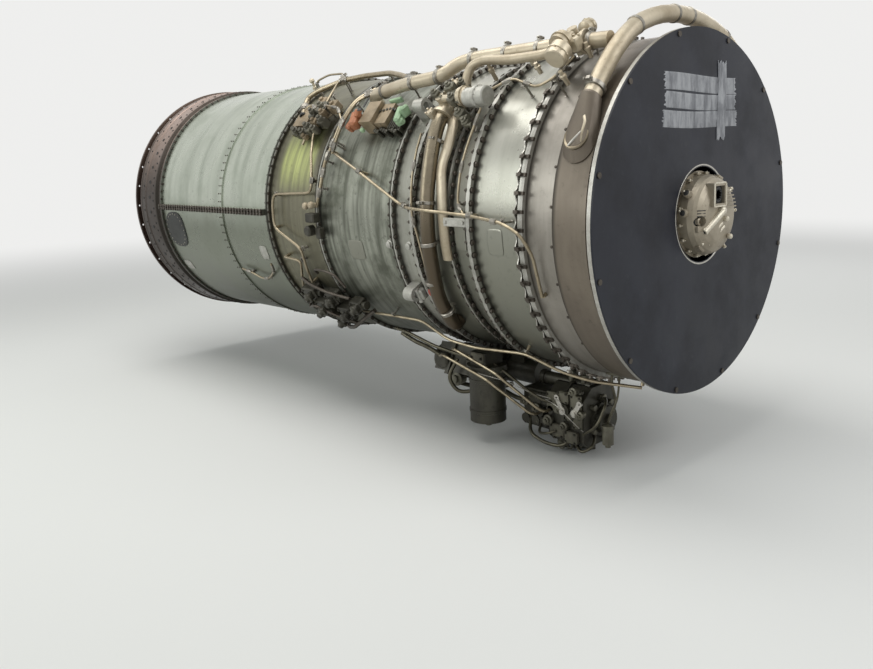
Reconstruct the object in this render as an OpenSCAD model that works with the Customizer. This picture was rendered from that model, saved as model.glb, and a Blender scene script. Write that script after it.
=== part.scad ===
// Turbofan engine with two spools and a full-length outer fan duct
// Millimetres. X runs forward along the engine axis, Z is up, and the origin is
// the centre of the exhaust flange's rear face. Around the axis, places are given
// as a clock angle: 0 is the top and 90 is the left side, seen from behind.

/* [Outer case lengths] */
// Length of the exhaust flange ring
exhaust_flange_len = 52; // [45:1:60]
// Length of the rear mount ring
mount_ring_len = 184; // [170:1:200]
// Length of the two rear duct halves
rear_duct_len = 947; // [900:1:1000]
// Length of the duct over the combustion section
combustion_duct_len = 328; // [310:1:350]
// Length of the barrel duct over the high compressor
barrel_duct_len = 413; // [400:1:430]
// Length of the intermediate case's outer ring
middle_case_len = 106; // [100:1:115]
// Length of the fan exit case
fan_exit_len = 163; // [155:1:175]
// Length of the rear fan case, which steps down to the exit case
fan_rear_len = 115; // [110:1:125]
// Length of the front fan case
fan_front_len = 205; // [200:1:215]
// Length of the inlet case
inlet_len = 247; // [240:1:260]

/* [Outer case radii] */
// Outside radius of the inlet flange
inlet_flange_r = 540; // [536:1:546]
// Skin radius of the inlet case
inlet_skin_r = 516; // [514:1:518]
// Skin radius of the front fan case
fan_skin_r = 515; // [513:1:517]
// Skin radius at the narrow fan exit
exit_skin_r = 487; // [485:1:490]
// Skin radius of the intermediate case's ring
middle_skin_r = 497; // [495:1:499]
// Skin radius at the rear of the barrel duct
barrel_skin_r = 509; // [507:1:511]
// Skin radius at the front of the rear duct
rear_duct_front_r = 523; // [520:1:525]
// Skin radius at the rear of the rear duct
rear_duct_rear_r = 534; // [531:1:536]
// Height of the exhaust flange above the rear duct
exhaust_flange_h = 28; // [26:1:32]
// Wall of the sheet ducts
duct_wall = 5; // [4:0.5:6]
// Wall of the fan cases
fan_wall = 9; // [8:0.5:10]
// Height of a joint flange above the skin
flange_h = 17; // [15:1:19]
// Width of one joint flange
flange_w = 7; // [6:0.5:9]

/* [Inlet] */
// Thickness of the inlet cover plate
cover_t = 6; // [4:0.5:8]
// Radius of the cover's centre hole
cover_hole_r = 142; // [138:1:146]
// Number of screws that hold the cover
cover_screws_n = 12; // [8:1:16]
// Radius of the nose housing
nose_r = 129; // [120:1:132]
// How far the nose housing stands out of the inlet flange
nose_out = 72; // [66:1:84]
// Radius of the hub behind the inlet vanes
hub_r = 176; // [172:1:180]
// Number of inlet guide vanes
inlet_vanes_n = 19; // [15:1:21]

/* [Low pressure spool] */
// Number of blades in the first fan row
fan_blades_n = 30; // [24:1:32]
// Number of blades in the second fan row
fan_rear_blades_n = 32; // [28:1:34]
// Blades in each low compressor row
low_blades_n = 34; // [24:1:38]
// Outside radius of the low shaft
low_shaft_r = 45; // [40:1:48]
// Bore radius of the low shaft
low_shaft_bore_r = 32; // [28:1:34]
// Blades in each low turbine row
low_turbine_blades_n = 40; // [30:1:44]

/* [High pressure spool] */
// Number of high compressor rows
core_rows = 7; // [7:1:7]
// Blades in each high compressor row
core_blades_n = 32; // [26:1:36]
// Outside radius of the high shaft
core_shaft_r = 72; // [68:1:76]
// Bore radius of the high shaft
core_shaft_bore_r = 58; // [54:1:62]
// Blades of the high turbine
core_turbine_blades_n = 44; // [36:1:48]

/* [Combustion] */
// Number of combustion cans
cans_n = 9; // [7:1:9]
// Radius of one can
can_r = 66; // [60:1:70]
// Radius of the ring on which the cans sit
can_ring_r = 285; // [280:1:290]

/* [Accessories] */
// Radius of the oil filter can
filter_r = 62; // [56:1:66]
// Height of the oil filter can
filter_h = 181; // [165:1:195]
// Radius of the tower shaft
tower_r = 14; // [12:0.5:16]
// Outside radius of the main air duct
air_duct_r = 22; // [20:0.5:24]
// Outside radius of the anti-ice ducts
ice_duct_r = 25; // [23:0.5:27]
// Outside radius of the bleed duct
bleed_duct_r = 26; // [23:0.5:28]
// Radius of the thin tubes
tube_r = 5; // [4:0.5:6]
// Radius of the valves' round cans
valve_can_r = 29; // [26:1:31]

/* [Fits] */
// Radial clearance of a shaft that turns in its bearing
running = 0.05; // [0.03:0.01:0.08]
// Clearance between pieces that are bolted side by side
seat = 0.3; // [0.2:0.05:0.4]
// Tip clearance between blades and case
tip_gap = 2; // [1.5:0.1:3]

/* [Hidden] */

// Stations along the axis, counted forward from the exhaust flange's rear face
x_ring = exhaust_flange_len;
x_duct = x_ring + mount_ring_len;
x_combustion = x_duct + rear_duct_len;
x_barrel = x_combustion + combustion_duct_len;
x_middle = x_barrel + barrel_duct_len;
x_exit = x_middle + middle_case_len;
x_step = x_exit + fan_exit_len;
x_fan = x_step + fan_rear_len;
x_inlet = x_fan + fan_front_len;
x_front = x_inlet + inlet_len;

// Fineness of round shapes
big = 160;
mid = 64;
small = 32;
// Overshoot of a cut beyond the face that it goes through
over = 1;

// Fan rows
fan_row_1 = x_inlet - 64;
fan_row_2 = x_step + 62;
stator_row_1 = (fan_row_1 + fan_row_2) / 2 - 2;
fan_hub_1 = hub_r + 16;
fan_hub_2 = hub_r + 58;
fan_tip_1 = fan_skin_r - fan_wall - tip_gap - 3;
fan_tip_2 = exit_skin_r - fan_wall - tip_gap - 3;
exit_vane_row = x_step - 50;

// Low compressor rows
low_pitch = 46;
low_first = x_step - 42;
low_rows = 4;
low_hub_r = 252;
low_case_r = 344;
splitter_r = low_case_r + 8;

// Intermediate case
strut_x = x_middle + middle_case_len / 2;
tower_x = strut_x - 14;
hub_ring_x0 = x_middle - 66;
hub_ring_x1 = tower_x + 30;

// High compressor rows
core_pitch = 50;
core_first = x_middle - 86;
core_last = core_first - core_pitch * (core_rows - 1);
core_hub_front = 205;
core_hub_rear = 237;
core_tip_front = 304;
core_tip_rear = 274;
core_wall = 8;
hub_ring_in = core_tip_front + 4;

// Combustion and turbines
diffuser_x1 = core_last - 38;
diffuser_x0 = diffuser_x1 - 100;
can_front = diffuser_x0 - 12;
can_rear = can_front - 372;
combustion_case_r = can_ring_r + can_r + 37;
core_turbine_x = can_rear - 76;
core_turbine_hub = 244;
core_turbine_tip = combustion_case_r - 58;
low_turbine_pitch = 94;
low_turbine_first = core_turbine_x - 92;
low_turbine_rows = 3;
turbine_case_x0 = low_turbine_first - low_turbine_pitch * 2 - 46;
turbine_case_x1 = can_rear - 4;
exhaust_strut_x = turbine_case_x0 - 96;
exhaust_hub_r = 192;
exhaust_case_x0 = turbine_case_x0 - 190;
cone_front = exhaust_strut_x - 60;
cone_tip = exhaust_case_x0 - 300;

// Gearbox
gear_x0 = x_middle - 96;
gear_x1 = x_exit + 12;
gear_top_r = middle_skin_r + flange_h + 13;
gear_bottom_r = gear_top_r + 104;
gear_half_angle = 24;

function mix(a, b, t) = a + (b - a) * t;
function unit(v) = v / norm(v);
// A place given as [x, clock angle, distance from the axis]
function place(p) = [p.x, -p.z * sin(p.y), p.z * cos(p.y)];
function span(p, q) = norm(place(p) - place(q));
// Radius of a circle through the ends of a chord with the given height above it
function arc_r(chord, rise) = (chord * chord / 4 + rise * rise) / (2 * rise);
// Radii along the high compressor's tapering path
function core_hub(x) = mix(core_hub_rear, core_hub_front, (x - core_last) / (core_first - core_last));
function core_case_in(x) = 4
    + mix(core_tip_rear, core_tip_front, (x - diffuser_x1) / (hub_ring_x0 - diffuser_x1));
function low_turbine_hub(i) = 238 - 9 * i;
function low_turbine_tip(i) = combustion_case_r - 46 + 15 * i;

// A solid of revolution about the engine axis from [radius, x] points
module turned(points, fine = big) rotate([0, 90, 0])
    rotate_extrude($fn = fine) polygon(points);

// A plain ring about the engine axis
module ring(x0, x1, r0, r1, fine = big)
    turned([[r0, x0], [r1, x0], [r1, x1], [r0, x1]], fine);

// A round bar along X, at a place on the engine
module bar_x(x0, x1, r, fine = small)
    translate([x0, 0, 0]) rotate([0, 90, 0]) cylinder(h = x1 - x0, r = r, $fn = fine);

// Copies around the engine axis
module around(count, first = 0) for (i = [0 : count - 1])
    rotate([first + i * 360 / count, 0, 0]) children();

// Something placed on the engine at a clock angle and radius, with its Z outward
module seated(x, angle, r) translate(place([x, angle, r]))
    rotate([angle, 0, 0]) children();

// An extrusion along X of an outline drawn as [Y, Z]
module along_x(x0, x1) translate([x0, 0, 0]) rotate([90, 0, 90])
    linear_extrude(x1 - x0) children();

// A case skin with a flange at each end, given by its skin radii
module shell(x0, r0, x1, r1, wall, h0 = flange_h, h1 = flange_h) {
    slope = (r1 - r0) / (x1 - x0);
    turned([[r0 - wall, x0], [r0 + h0, x0], [r0 + h0, x0 + flange_w],
            [r0 + slope * flange_w, x0 + flange_w], [r1 - slope * flange_w, x1 - flange_w],
            [r1 + h1, x1 - flange_w], [r1 + h1, x1], [r1 - wall, x1]]);
}

// A cambered aerofoil bounded by two arcs that meet at sharp edges
module aerofoil(chord, camber, thick) difference() {
    back = arc_r(chord, camber + thick / 2);
    belly = arc_r(chord, camber - thick / 2);
    translate([0, camber + thick / 2 - back]) circle(r = back, $fn = 300);
    translate([0, camber - thick / 2 - belly]) circle(r = belly, $fn = 300);
}

// A symmetrical strut section
module lens(chord, thick) intersection() {
    side = arc_r(chord, thick / 2);
    translate([0, thick / 2 - side]) circle(r = side, $fn = 300);
    translate([0, side - thick / 2]) circle(r = side, $fn = 300);
}

// One straight blade that stands outward from r0 to r1 at station x
module blade(x, r0, r1, chord, camber, thick, stagger)
    translate([x, 0, r0]) rotate(stagger) linear_extrude(r1 - r0)
        aerofoil(chord, camber, thick);

// A full row of straight blades
module row(count, x, r0, r1, chord, camber, thick, stagger)
    around(count) blade(x, r0, r1, chord, camber, thick, stagger);

// Smooth route through [x, angle, radius] places, rounded at the corners
function bent(p, bend) = [p[0], for (i = [1 : len(p) - 2])
    let(f0 = min(0.45, bend / span(p[i], p[i - 1])),
        f1 = min(0.45, bend / span(p[i], p[i + 1])),
        a = mix(p[i], p[i - 1], f0), c = mix(p[i], p[i + 1], f1))
    for (t = [0, 0.33, 0.67, 1]) a * (1 - t) * (1 - t) + p[i] * 2 * t * (1 - t) + c * t * t,
    p[len(p) - 1]];
function filled(p) = [for (i = [0 : len(p) - 2])
    let(n = max(1, ceil(abs(p[i + 1].y - p[i].y) / 11)))
    for (k = [0 : n - 1]) mix(p[i], p[i + 1], k / n), p[len(p) - 1]];
function tangents(q) = [for (i = [0 : len(q) - 1])
    unit(q[min(i + 1, len(q) - 1)] - q[max(i - 1, 0)])];
function carried(ts, u, i = 0) = i == len(ts) ? [] :
    let(w = unit(u - (u * ts[i]) * ts[i])) concat([w], carried(ts, w, i + 1));

// A tube of round section swept along a route
module pipe(route, r, sides = 8, bend = 45) {
    q = [for (p = filled(bent(route, bend))) place(p)];
    ts = tangents(q);
    us = carried(ts, unit(cross(ts[0], [0.31, 0.87, 0.39])));
    points = [for (i = [0 : len(q) - 1]) for (s = [0 : sides - 1])
        q[i] + r * (us[i] * cos(s * 360 / sides) + cross(ts[i], us[i]) * sin(s * 360 / sides))];
    sides_of = [for (i = [0 : len(q) - 2]) for (s = [0 : sides - 1])
        [i * sides + s, i * sides + (s + 1) % sides,
         (i + 1) * sides + (s + 1) % sides, (i + 1) * sides + s]];
    first = [for (s = [sides - 1 : -1 : 0]) s];
    last = [for (s = [0 : sides - 1]) (len(q) - 1) * sides + s];
    polyhedron(points, concat([for (f = sides_of) [f[3], f[2], f[1], f[0]]],
                              [[for (s = first) sides - 1 - s]],
                              [[for (s = last) last[0] + last[sides - 1] - s]]), convexity = 10);
}

// Inlet

cover_screw_r = inlet_flange_r - 12;
screw_hole_r = 4.5;
screw_r = 4;

module inlet_case() color("lightgray") difference() {
    turned([[inlet_skin_r - fan_wall, x_inlet], [fan_skin_r + 18, x_inlet],
            [fan_skin_r + 18, x_inlet + 10], [inlet_skin_r, x_inlet + 10],
            [inlet_skin_r, x_front - 12], [inlet_flange_r, x_front - 12],
            [inlet_flange_r, x_front], [inlet_skin_r - fan_wall, x_front]]);
    around(cover_screws_n, 15) translate([0, 0, cover_screw_r])
        bar_x(x_front - 12 - over, x_front + over, screw_hole_r);
}

band_r = inlet_skin_r + 8;
band_x0 = x_inlet + 104;
foot_x = x_front - 78;
foot_angle_low = 66;
foot_angle_top = 52;
foot_r = band_r + ice_duct_r + 3;
foot_end_r = 50;
// Welded foot where an anti-ice duct enters the band
module foot() hull() {
    seated(foot_x - 2, foot_angle_low, band_r - 2) cylinder(h = 5, r = foot_end_r, $fn = 36);
    seated(foot_x, foot_angle_low - 3, band_r - 2)
        cylinder(h = 26, r1 = foot_end_r, r2 = foot_end_r - 12, $fn = 36);
    seated(foot_x + 6, foot_angle_top, foot_r) rotate([90, 0, 0])
        cylinder(h = 6, r = ice_duct_r + 4, $fn = 36);
}
module anti_ice_band() color("rosybrown") {
    turned([[inlet_skin_r + seat, band_x0], [band_r - 5, band_x0], [band_r, band_x0 + 6],
            [band_r, x_front - 28], [inlet_skin_r + seat, x_front - 28]]);
    foot();
    mirror([0, 1, 0]) foot();
}

vane_x = x_front - 150;
vane_tip = inlet_skin_r - fan_wall - 0.5;
module inlet_guide_vanes() color("silver") around(inlet_vanes_n)
    translate([vane_x, 0, hub_r + seat]) rotate(8)
        linear_extrude(vane_tip - hub_r - seat) lens(108, 12);

nose_seat_x = x_front - 80;
module front_bearing_case() color("tan") turned([
    [bearing_1_r + seat, vane_x - 50], [hub_r, vane_x - 66], [hub_r, nose_seat_x - 10],
    [nose_r - 10, nose_seat_x], [nose_r - 34, nose_seat_x], [nose_r - 34, nose_seat_x - 24],
    [hub_r - 30, vane_x], [bearing_1_r + 26, vane_x - 18], [bearing_1_r + seat, vane_x - 18]]);

nose_tip_x = x_front + nose_out;
// Outline of the blunt nose, also the limit of the square boss on it
nose_lip_r = nose_r - 10;
nose_shoulder_r = nose_r - 21;
// A round bar between two points
module bar_between(p, q, r) translate(p)
    rotate([0, acos((q - p).z / norm(q - p)), atan2((q - p).y, (q - p).x)])
        cylinder(h = norm(q - p), r = r, $fn = small);

nose_fin_r = nose_shoulder_r - 20;
nose_port_y = -57;
nose_port_z = 28;
nose_port = 67;
nose_port_wall = 8;
module nose_housing() color("wheat") {
    difference() {
        union() {
            turned([[0, nose_seat_x + seat], [nose_r - 6, nose_seat_x + seat],
                    [nose_r - 6, x_front - 20], [nose_r, x_front - 20], [nose_r, x_front - 6],
                    [nose_lip_r, x_front - 6], [nose_lip_r, x_front + 24],
                    [nose_lip_r - 5, x_front + 40], [nose_shoulder_r, nose_tip_x - 23],
                    [nose_shoulder_r - 14, nose_tip_x - 13], [nose_shoulder_r - 31, nose_tip_x - 6],
                    [0, nose_tip_x - 2]], 96);
            // Square boss around the drive port
            intersection() {
                bar_x(x_front + 30, nose_tip_x + 5, nose_shoulder_r + 1, 96);
                translate([x_front + 30, nose_port_y, nose_port_z]) cube([nose_out, nose_port, nose_port]);
            }
            // Cooling ribs beside it
            for (z = [nose_port_z - 8 : 11 : nose_port_z + nose_port - 18])
                translate([x_front + 30, nose_port_y + nose_port - 2, z])
                    cube([nose_out - 31, sqrt(pow(nose_fin_r, 2) - z * z) - nose_port_y - nose_port, 4]);
            // Oblique oil tube and the two ribs below it
            bar_between([nose_tip_x + 4, -6, 12], [nose_tip_x - 12, -83, -44], 9.5);
            bar_between([nose_tip_x - 4, 4, -24], [nose_tip_x - 26, -72, -81], 4.5);
            bar_between([nose_tip_x - 5, 18, -34], [nose_tip_x - 19, -46, -83], 4.5);
            // Fittings on the flank and on the face
            for (angle = [58, 84]) seated(x_front + 19, angle, nose_lip_r - 6)
                cylinder(h = 17, r = 11, $fn = small);
            for (p = [[22, -12], [44, -66]])
                translate([0, p.x, p.y]) bar_x(nose_tip_x - 30, nose_tip_x + 3, 7);
        }
        // Opening of the drive port
        translate([x_front + 46, nose_port_y + nose_port_wall, nose_port_z + nose_port_wall])
            cube([nose_out, nose_port - 2 * nose_port_wall, nose_port - 2 * nose_port_wall]);
        // Pocket in the shoulder
        translate([0, 12 - nose_shoulder_r, -12]) bar_x(x_front + 32, nose_tip_x + over, 16);
    }
    // Nuts on the fixing flange
    around(16, 11) translate([x_front - 6, 0, nose_r - 5]) rotate([0, 90, 0])
        cylinder(h = 9, r = 4, $fn = 6);
}

module inlet_cover() color("#20262e") difference() {
    ring(x_front, x_front + cover_t, cover_hole_r, inlet_flange_r);
    around(cover_screws_n, 15) translate([0, 0, cover_screw_r])
        bar_x(x_front - over, x_front + cover_t + over, screw_hole_r);
}

// Cover screws, and the T-bolts that clamp the inlet case to the fan case
clamp_r = fan_skin_r + 12;
clamps_n = 66;
module cover_screw() translate([0, 0, cover_screw_r]) {
    bar_x(x_front - 22, x_front + cover_t, screw_r);
    bar_x(x_front + cover_t, x_front + cover_t + 3.5, 8);
    translate([x_front - 18, 0, 0]) rotate([0, 90, 0]) cylinder(h = 5.8, r = 8, $fn = 6);
}
module clamp_bolt() translate([x_inlet, 0, clamp_r + 6.2]) {
    translate([-17, -5, 0]) cube([34, 10, 8]);
    translate([0, 0, 6]) cylinder(h = 10, r = 6.5, $fn = 6);
}
module case_bolts() color("dimgray") {
    around(cover_screws_n, 15) cover_screw();
    around(clamps_n, 4) clamp_bolt();
}

// Fan section

module fan_case_front() color("lightgray")
    shell(x_fan, fan_skin_r, x_inlet, fan_skin_r, fan_wall, 18, 18);

module fan_case_rear() color("lightgray")
    shell(x_step, exit_skin_r, x_fan, fan_skin_r, fan_wall, 16, 18);

module fan_exit_case() color("lightgray")
    shell(x_exit, middle_skin_r, x_step, exit_skin_r, fan_wall, flange_h, 16);

module fan_stator_vanes() color("silver") {
    row(36, stator_row_1, mix(fan_hub_1, fan_hub_2, 0.5) + 22, fan_skin_r - fan_wall - 0.5,
        62, 5, 5, -20);
    // Inner ring that carries the first stators
    ring(stator_row_1 - 24, stator_row_1 + 24, mix(fan_hub_1, fan_hub_2, 0.5) + 12,
         mix(fan_hub_1, fan_hub_2, 0.5) + 21.5);
    row(42, exit_vane_row, splitter_r + 8 + seat, exit_skin_r - fan_wall + 0.6, 66, 5, 5, -14);
}

// Core case behind the splitter lip, which parts core air from duct air
module low_compressor_case() color("darkgray") turned([
    [low_case_r, x_step + 4], [low_case_r + 3, x_step + 4], [splitter_r + 8, x_step - 16],
    [splitter_r + 8, strut_x + 52], [splitter_r + 4 - seat, strut_x + 52],
    [splitter_r + 4 - seat, hub_ring_x1 + seat], [low_case_r - 14, hub_ring_x1 + seat]]);

function low_case_in(x) = mix(low_case_r - 14, low_case_r, (x - hub_ring_x1) / (x_step - hub_ring_x1));
module low_stator_vanes() color("silver") for (i = [0 : low_rows - 2]) {
    x = low_first - low_pitch * (i + 0.5);
    row(30, x, low_hub_r + 6, low_case_in(x - 11) - seat, 21, 2.2, 2.4, -18);
}

// Intermediate case: hub, struts and mount ring in one casting
eye_angle = 48;
eye_r = middle_skin_r + flange_h + 24;
eye_bore_r = 12;
// How far an eye's root runs into the case's wall
eye_root = 8;
foot_angle = 118;
module mount_eye(angle) seated(strut_x, angle, eye_r) difference() {
    union() {
        translate([-22, 0, 0]) rotate([0, 90, 0]) cylinder(h = 44, r = 24, $fn = mid);
        translate([-22, -24, -38 - eye_root]) cube([44, 48, 38 + eye_root]);
    }
    translate([-22 - over, 0, 0]) rotate([0, 90, 0])
        cylinder(h = 44 + 2 * over, r = eye_bore_r, $fn = mid);
}
module intermediate_case() color("gray") {
    difference() {
        union() {
            shell(x_middle, middle_skin_r - 3, x_exit, middle_skin_r, fan_wall);
            turned([[hub_ring_in, hub_ring_x0], [splitter_r + 8, hub_ring_x0],
                    [splitter_r + 8, hub_ring_x1], [low_case_in(hub_ring_x1), hub_ring_x1],
                    [low_case_in(hub_ring_x1), hub_ring_x1 - 24], [hub_ring_in, hub_ring_x0 + 40]]);
            // Inner wall of the core's air path
            turned([[core_hub_front - 4, hub_ring_x0 + 4], [core_hub_front + 3, hub_ring_x0 + 4],
                    [low_hub_r, hub_ring_x1], [low_hub_r - 7, hub_ring_x1]]);
            around(8) {
                translate([strut_x, 0, splitter_r + 4])
                    linear_extrude(middle_skin_r - splitter_r - 8) lens(100, 50);
                translate([tower_x, 0, low_hub_r - 20])
                    linear_extrude(splitter_r - low_hub_r + 10) lens(56, 44);
            }
            for (a = [eye_angle, -eye_angle, foot_angle, -foot_angle]) mount_eye(a);
        }
        // Passage of the tower shaft through the lower strut
        translate([tower_x, 0, -middle_skin_r - 60])
            cylinder(h = 360, r = tower_r + 4, $fn = mid);
    }
}

// Cone that carries the high spool's front bearing inside the intermediate case
module bearing_web()
    turned([[bearing_2_r + seat, x_middle - 42], [core_hub_front - 10, hub_ring_x0 + 4],
            [core_hub_front - 4 - seat, hub_ring_x0 + 4], [core_hub_front - 4 - seat, hub_ring_x0 + 16],
            [bearing_2_r + 14, x_middle - 30], [bearing_2_r + seat, x_middle - 30]]);

// Duct shells

module compressor_duct() color("darkkhaki")
    shell(x_barrel, barrel_skin_r, x_middle, middle_skin_r - 3, duct_wall, 14, flange_h);

module combustion_duct() color("darkkhaki")
    shell(x_combustion, rear_duct_front_r - 4, x_barrel, barrel_skin_r, duct_wall, 12, 14);

// Rear duct half: a skin, end flanges and a split-line flange on each side
split_h = 12;
strap_x = x_duct + 566;
module rear_duct_skin() {
    shell(x_duct, rear_duct_rear_r, x_combustion, rear_duct_front_r, duct_wall, 10, 12);
    turned([[mix(rear_duct_rear_r, rear_duct_front_r, 0.6) - 2, strap_x - 14],
            [mix(rear_duct_rear_r, rear_duct_front_r, 0.6) + 5, strap_x - 14],
            [mix(rear_duct_rear_r, rear_duct_front_r, 0.6) + 5, strap_x + 14],
            [mix(rear_duct_rear_r, rear_duct_front_r, 0.6) - 2, strap_x + 14]]);
    for (s = [-1, 1]) along_x(x_duct + 4, x_combustion - 4)
        translate([s * (rear_duct_rear_r + 2) - 15, -split_h]) square([30, 2 * split_h]);
}
module half_space(up) translate([x_duct - 10, -700, up ? 0 : -700])
    cube([rear_duct_len + 20, 1400, 700]);
module duct_inside() turned([[0, x_duct - over], [rear_duct_rear_r - duct_wall, x_duct - over],
    [rear_duct_front_r - duct_wall, x_combustion + over], [0, x_combustion + over]]);
module rear_duct_upper() color("honeydew") difference() {
    intersection() {
        rear_duct_skin();
        half_space(true);
    }
    duct_inside();
}

module rear_duct_lower() color("honeydew") difference() {
    intersection() {
        rear_duct_skin();
        half_space(false);
    }
    duct_inside();
}

module rear_mount_ring() color("rosybrown") difference() {
    turned([[rear_duct_rear_r - duct_wall, x_ring + 20], [rear_duct_rear_r + 8, x_ring],
            [rear_duct_rear_r + 22, x_ring], [rear_duct_rear_r + 22, x_ring + 44],
            [rear_duct_rear_r + 19, x_ring + 50], [rear_duct_rear_r + 17, x_duct - 32],
            [rear_duct_rear_r + 6, x_duct - 26], [rear_duct_rear_r + 6, x_duct - 8],
            [rear_duct_rear_r + 10, x_duct - 8], [rear_duct_rear_r + 10, x_duct],
            [rear_duct_rear_r - duct_wall, x_duct]]);
    // Row of radial holes around the band
    around(48, 3) translate([x_ring + 88, 0, rear_duct_rear_r - 30])
        cylinder(h = 80, r = 5, $fn = 24);
}

bolt_hole_r = 5;
bolts_n = 36;
bolt_circle_r = rear_duct_rear_r + exhaust_flange_h / 2;
module exhaust_flange() color("dimgray") difference() {
    turned([[rear_duct_rear_r - 8, 0], [rear_duct_rear_r + exhaust_flange_h, 0],
            [rear_duct_rear_r + exhaust_flange_h, 12],
            [rear_duct_rear_r + 4, 12], [rear_duct_rear_r + 4, x_ring - 20],
            [rear_duct_rear_r + 22, x_ring - 8], [rear_duct_rear_r + 22, x_ring],
            [rear_duct_rear_r + 8, x_ring], [rear_duct_rear_r - 8, x_ring - 30]]);
    around(bolts_n) translate([0, 0, bolt_circle_r]) bar_x(-over, 12 + over, bolt_hole_r);
}

// Core cases

module core_compressor_case() color("darkgray") turned([
    [core_tip_rear + 4, diffuser_x1 + seat], [core_tip_rear + core_wall + 20, diffuser_x1 + seat],
    [core_tip_rear + core_wall + 20, diffuser_x1 + 8], [core_tip_rear + core_wall + 4, diffuser_x1 + 8],
    [core_tip_front + core_wall + 4, hub_ring_x0 - 8], [core_tip_front + 40, hub_ring_x0 - 8],
    [core_tip_front + 40, hub_ring_x0 - seat], [core_tip_front + 4, hub_ring_x0 - seat]]);

module core_stator_vanes() color("silver") for (i = [0 : core_rows - 1]) {
    x = core_first - core_pitch * (i + 0.5);
    row(28, x, core_hub(x) + 5, core_case_in(x - 11) - seat, 21, 2, 2.2, -18);
}

diffuser_hub_r = 190;
module diffuser_case() color("slategray") {
    // Outer wall over the cans
    turned([[core_tip_rear + 2, diffuser_x1], [core_tip_rear + 40, diffuser_x1],
            [combustion_case_r, diffuser_x0 + 10], [combustion_case_r, turbine_case_x1 + 8],
            [combustion_case_r + 14, turbine_case_x1 + 8],
            [combustion_case_r + 14, turbine_case_x1 + seat],
            [combustion_case_r - 5, turbine_case_x1 + seat],
            [combustion_case_r - 5, diffuser_x0 + 6], [core_tip_rear + 32, diffuser_x1 - 8],
            [core_tip_rear + 2, diffuser_x1 - 8]]);
    // Inner wall around the shaft
    turned([[diffuser_hub_r, can_rear + 30], [diffuser_hub_r + 5, can_rear + 30],
            [diffuser_hub_r + 5, diffuser_x0], [core_hub_rear - 6, diffuser_x1],
            [core_hub_rear - 14, diffuser_x1], [diffuser_hub_r, diffuser_x0 - 8]]);
    // Bearing carrier cone
    turned([[bearing_4_r + seat, can_rear + 60], [bearing_4_r + 12, can_rear + 60],
            [diffuser_hub_r + 1, can_rear + 180], [diffuser_hub_r + 1, can_rear + 196],
            [bearing_4_r + seat, can_rear + 90]]);
}

// Cans with a domed front, louvred liner and a hole for the fuel nozzle
louvre = 44;
can_mouth_r = 12;
module can() rotate([0, 90, 0]) rotate_extrude($fn = mid) polygon([
    [can_mouth_r, can_front], [26, can_front - 2], [can_r - 16, can_front - 20], [can_r - 6, can_front - 40],
    for (k = [0 : 4]) each [[can_r - 6 + k * 1.2, can_front - 40 - k * louvre],
                            [can_r - 4 + k * 1.2, can_front - 46 - k * louvre]],
    [can_r - 8, can_rear + 60], [can_r - 22, can_rear + 8], [can_r - 25, can_rear + 8],
    [can_r - 12, can_rear + 60], [can_r - 9, can_front - 46], [can_r - 20, can_front - 24],
    [26, can_front - 5], [can_mouth_r, can_front - 3]]);
module combustion_cans() color("peru") around(cans_n)
    translate([0, 0, can_ring_r]) can();

module fuel_manifold() color("silver") {
    rotate([0, 90, 0]) translate([0, 0, can_front + 8]) rotate_extrude($fn = 96)
        translate([can_ring_r + 42, 0]) circle(r = 7, $fn = 24);
    // Nozzles, whose stems hang from the case
    around(cans_n) translate([0, 0, can_ring_r]) {
        bar_x(can_front - 24, can_front + 16, can_mouth_r - seat);
        translate([can_front + 8, 0, 0])
            cylinder(h = combustion_case_r - 5.5 - can_ring_r, r = 6.5, $fn = 24);
    }
}

module turbine_case() color("slategray") turned([
    [low_turbine_tip(2) + 4, turbine_case_x0], [combustion_case_r + 12, turbine_case_x0],
    [combustion_case_r + 12, turbine_case_x0 + 8], [low_turbine_tip(2) + 22, turbine_case_x0 + 8],
    [low_turbine_tip(0) + 22, low_turbine_first + 70], [combustion_case_r + 14, turbine_case_x1 - 8],
    [combustion_case_r + 14, turbine_case_x1], [core_turbine_tip + 4, turbine_case_x1],
    [core_turbine_tip + 4, core_turbine_x - 20],
    for (i = [0 : 2]) each [[low_turbine_tip(i) + 4, low_turbine_first - low_turbine_pitch * i + 69],
                            [low_turbine_tip(i) + 4, low_turbine_first - low_turbine_pitch * i - 20]]]);

module turbine_nozzle_vanes() color("silver") {
    row(36, core_turbine_x + 42, core_turbine_hub + 8, core_turbine_tip + 3.5, 40, 6, 7, 30);
    for (i = [0 : low_turbine_rows - 1])
        row(36, low_turbine_first - low_turbine_pitch * i + 46, low_turbine_hub(i) + 10,
            low_turbine_tip(i) + 3.5, 38, 5.5, 6, 30);
}

module turbine_exhaust_case() color("slategray") {
    turned([[combustion_case_r - 6, exhaust_case_x0], [combustion_case_r, exhaust_case_x0],
            [combustion_case_r, turbine_case_x0 - 8], [combustion_case_r + 12, turbine_case_x0 - 8],
            [combustion_case_r + 12, turbine_case_x0 - seat],
            [combustion_case_r - 6, turbine_case_x0 - seat]]);
}

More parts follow.
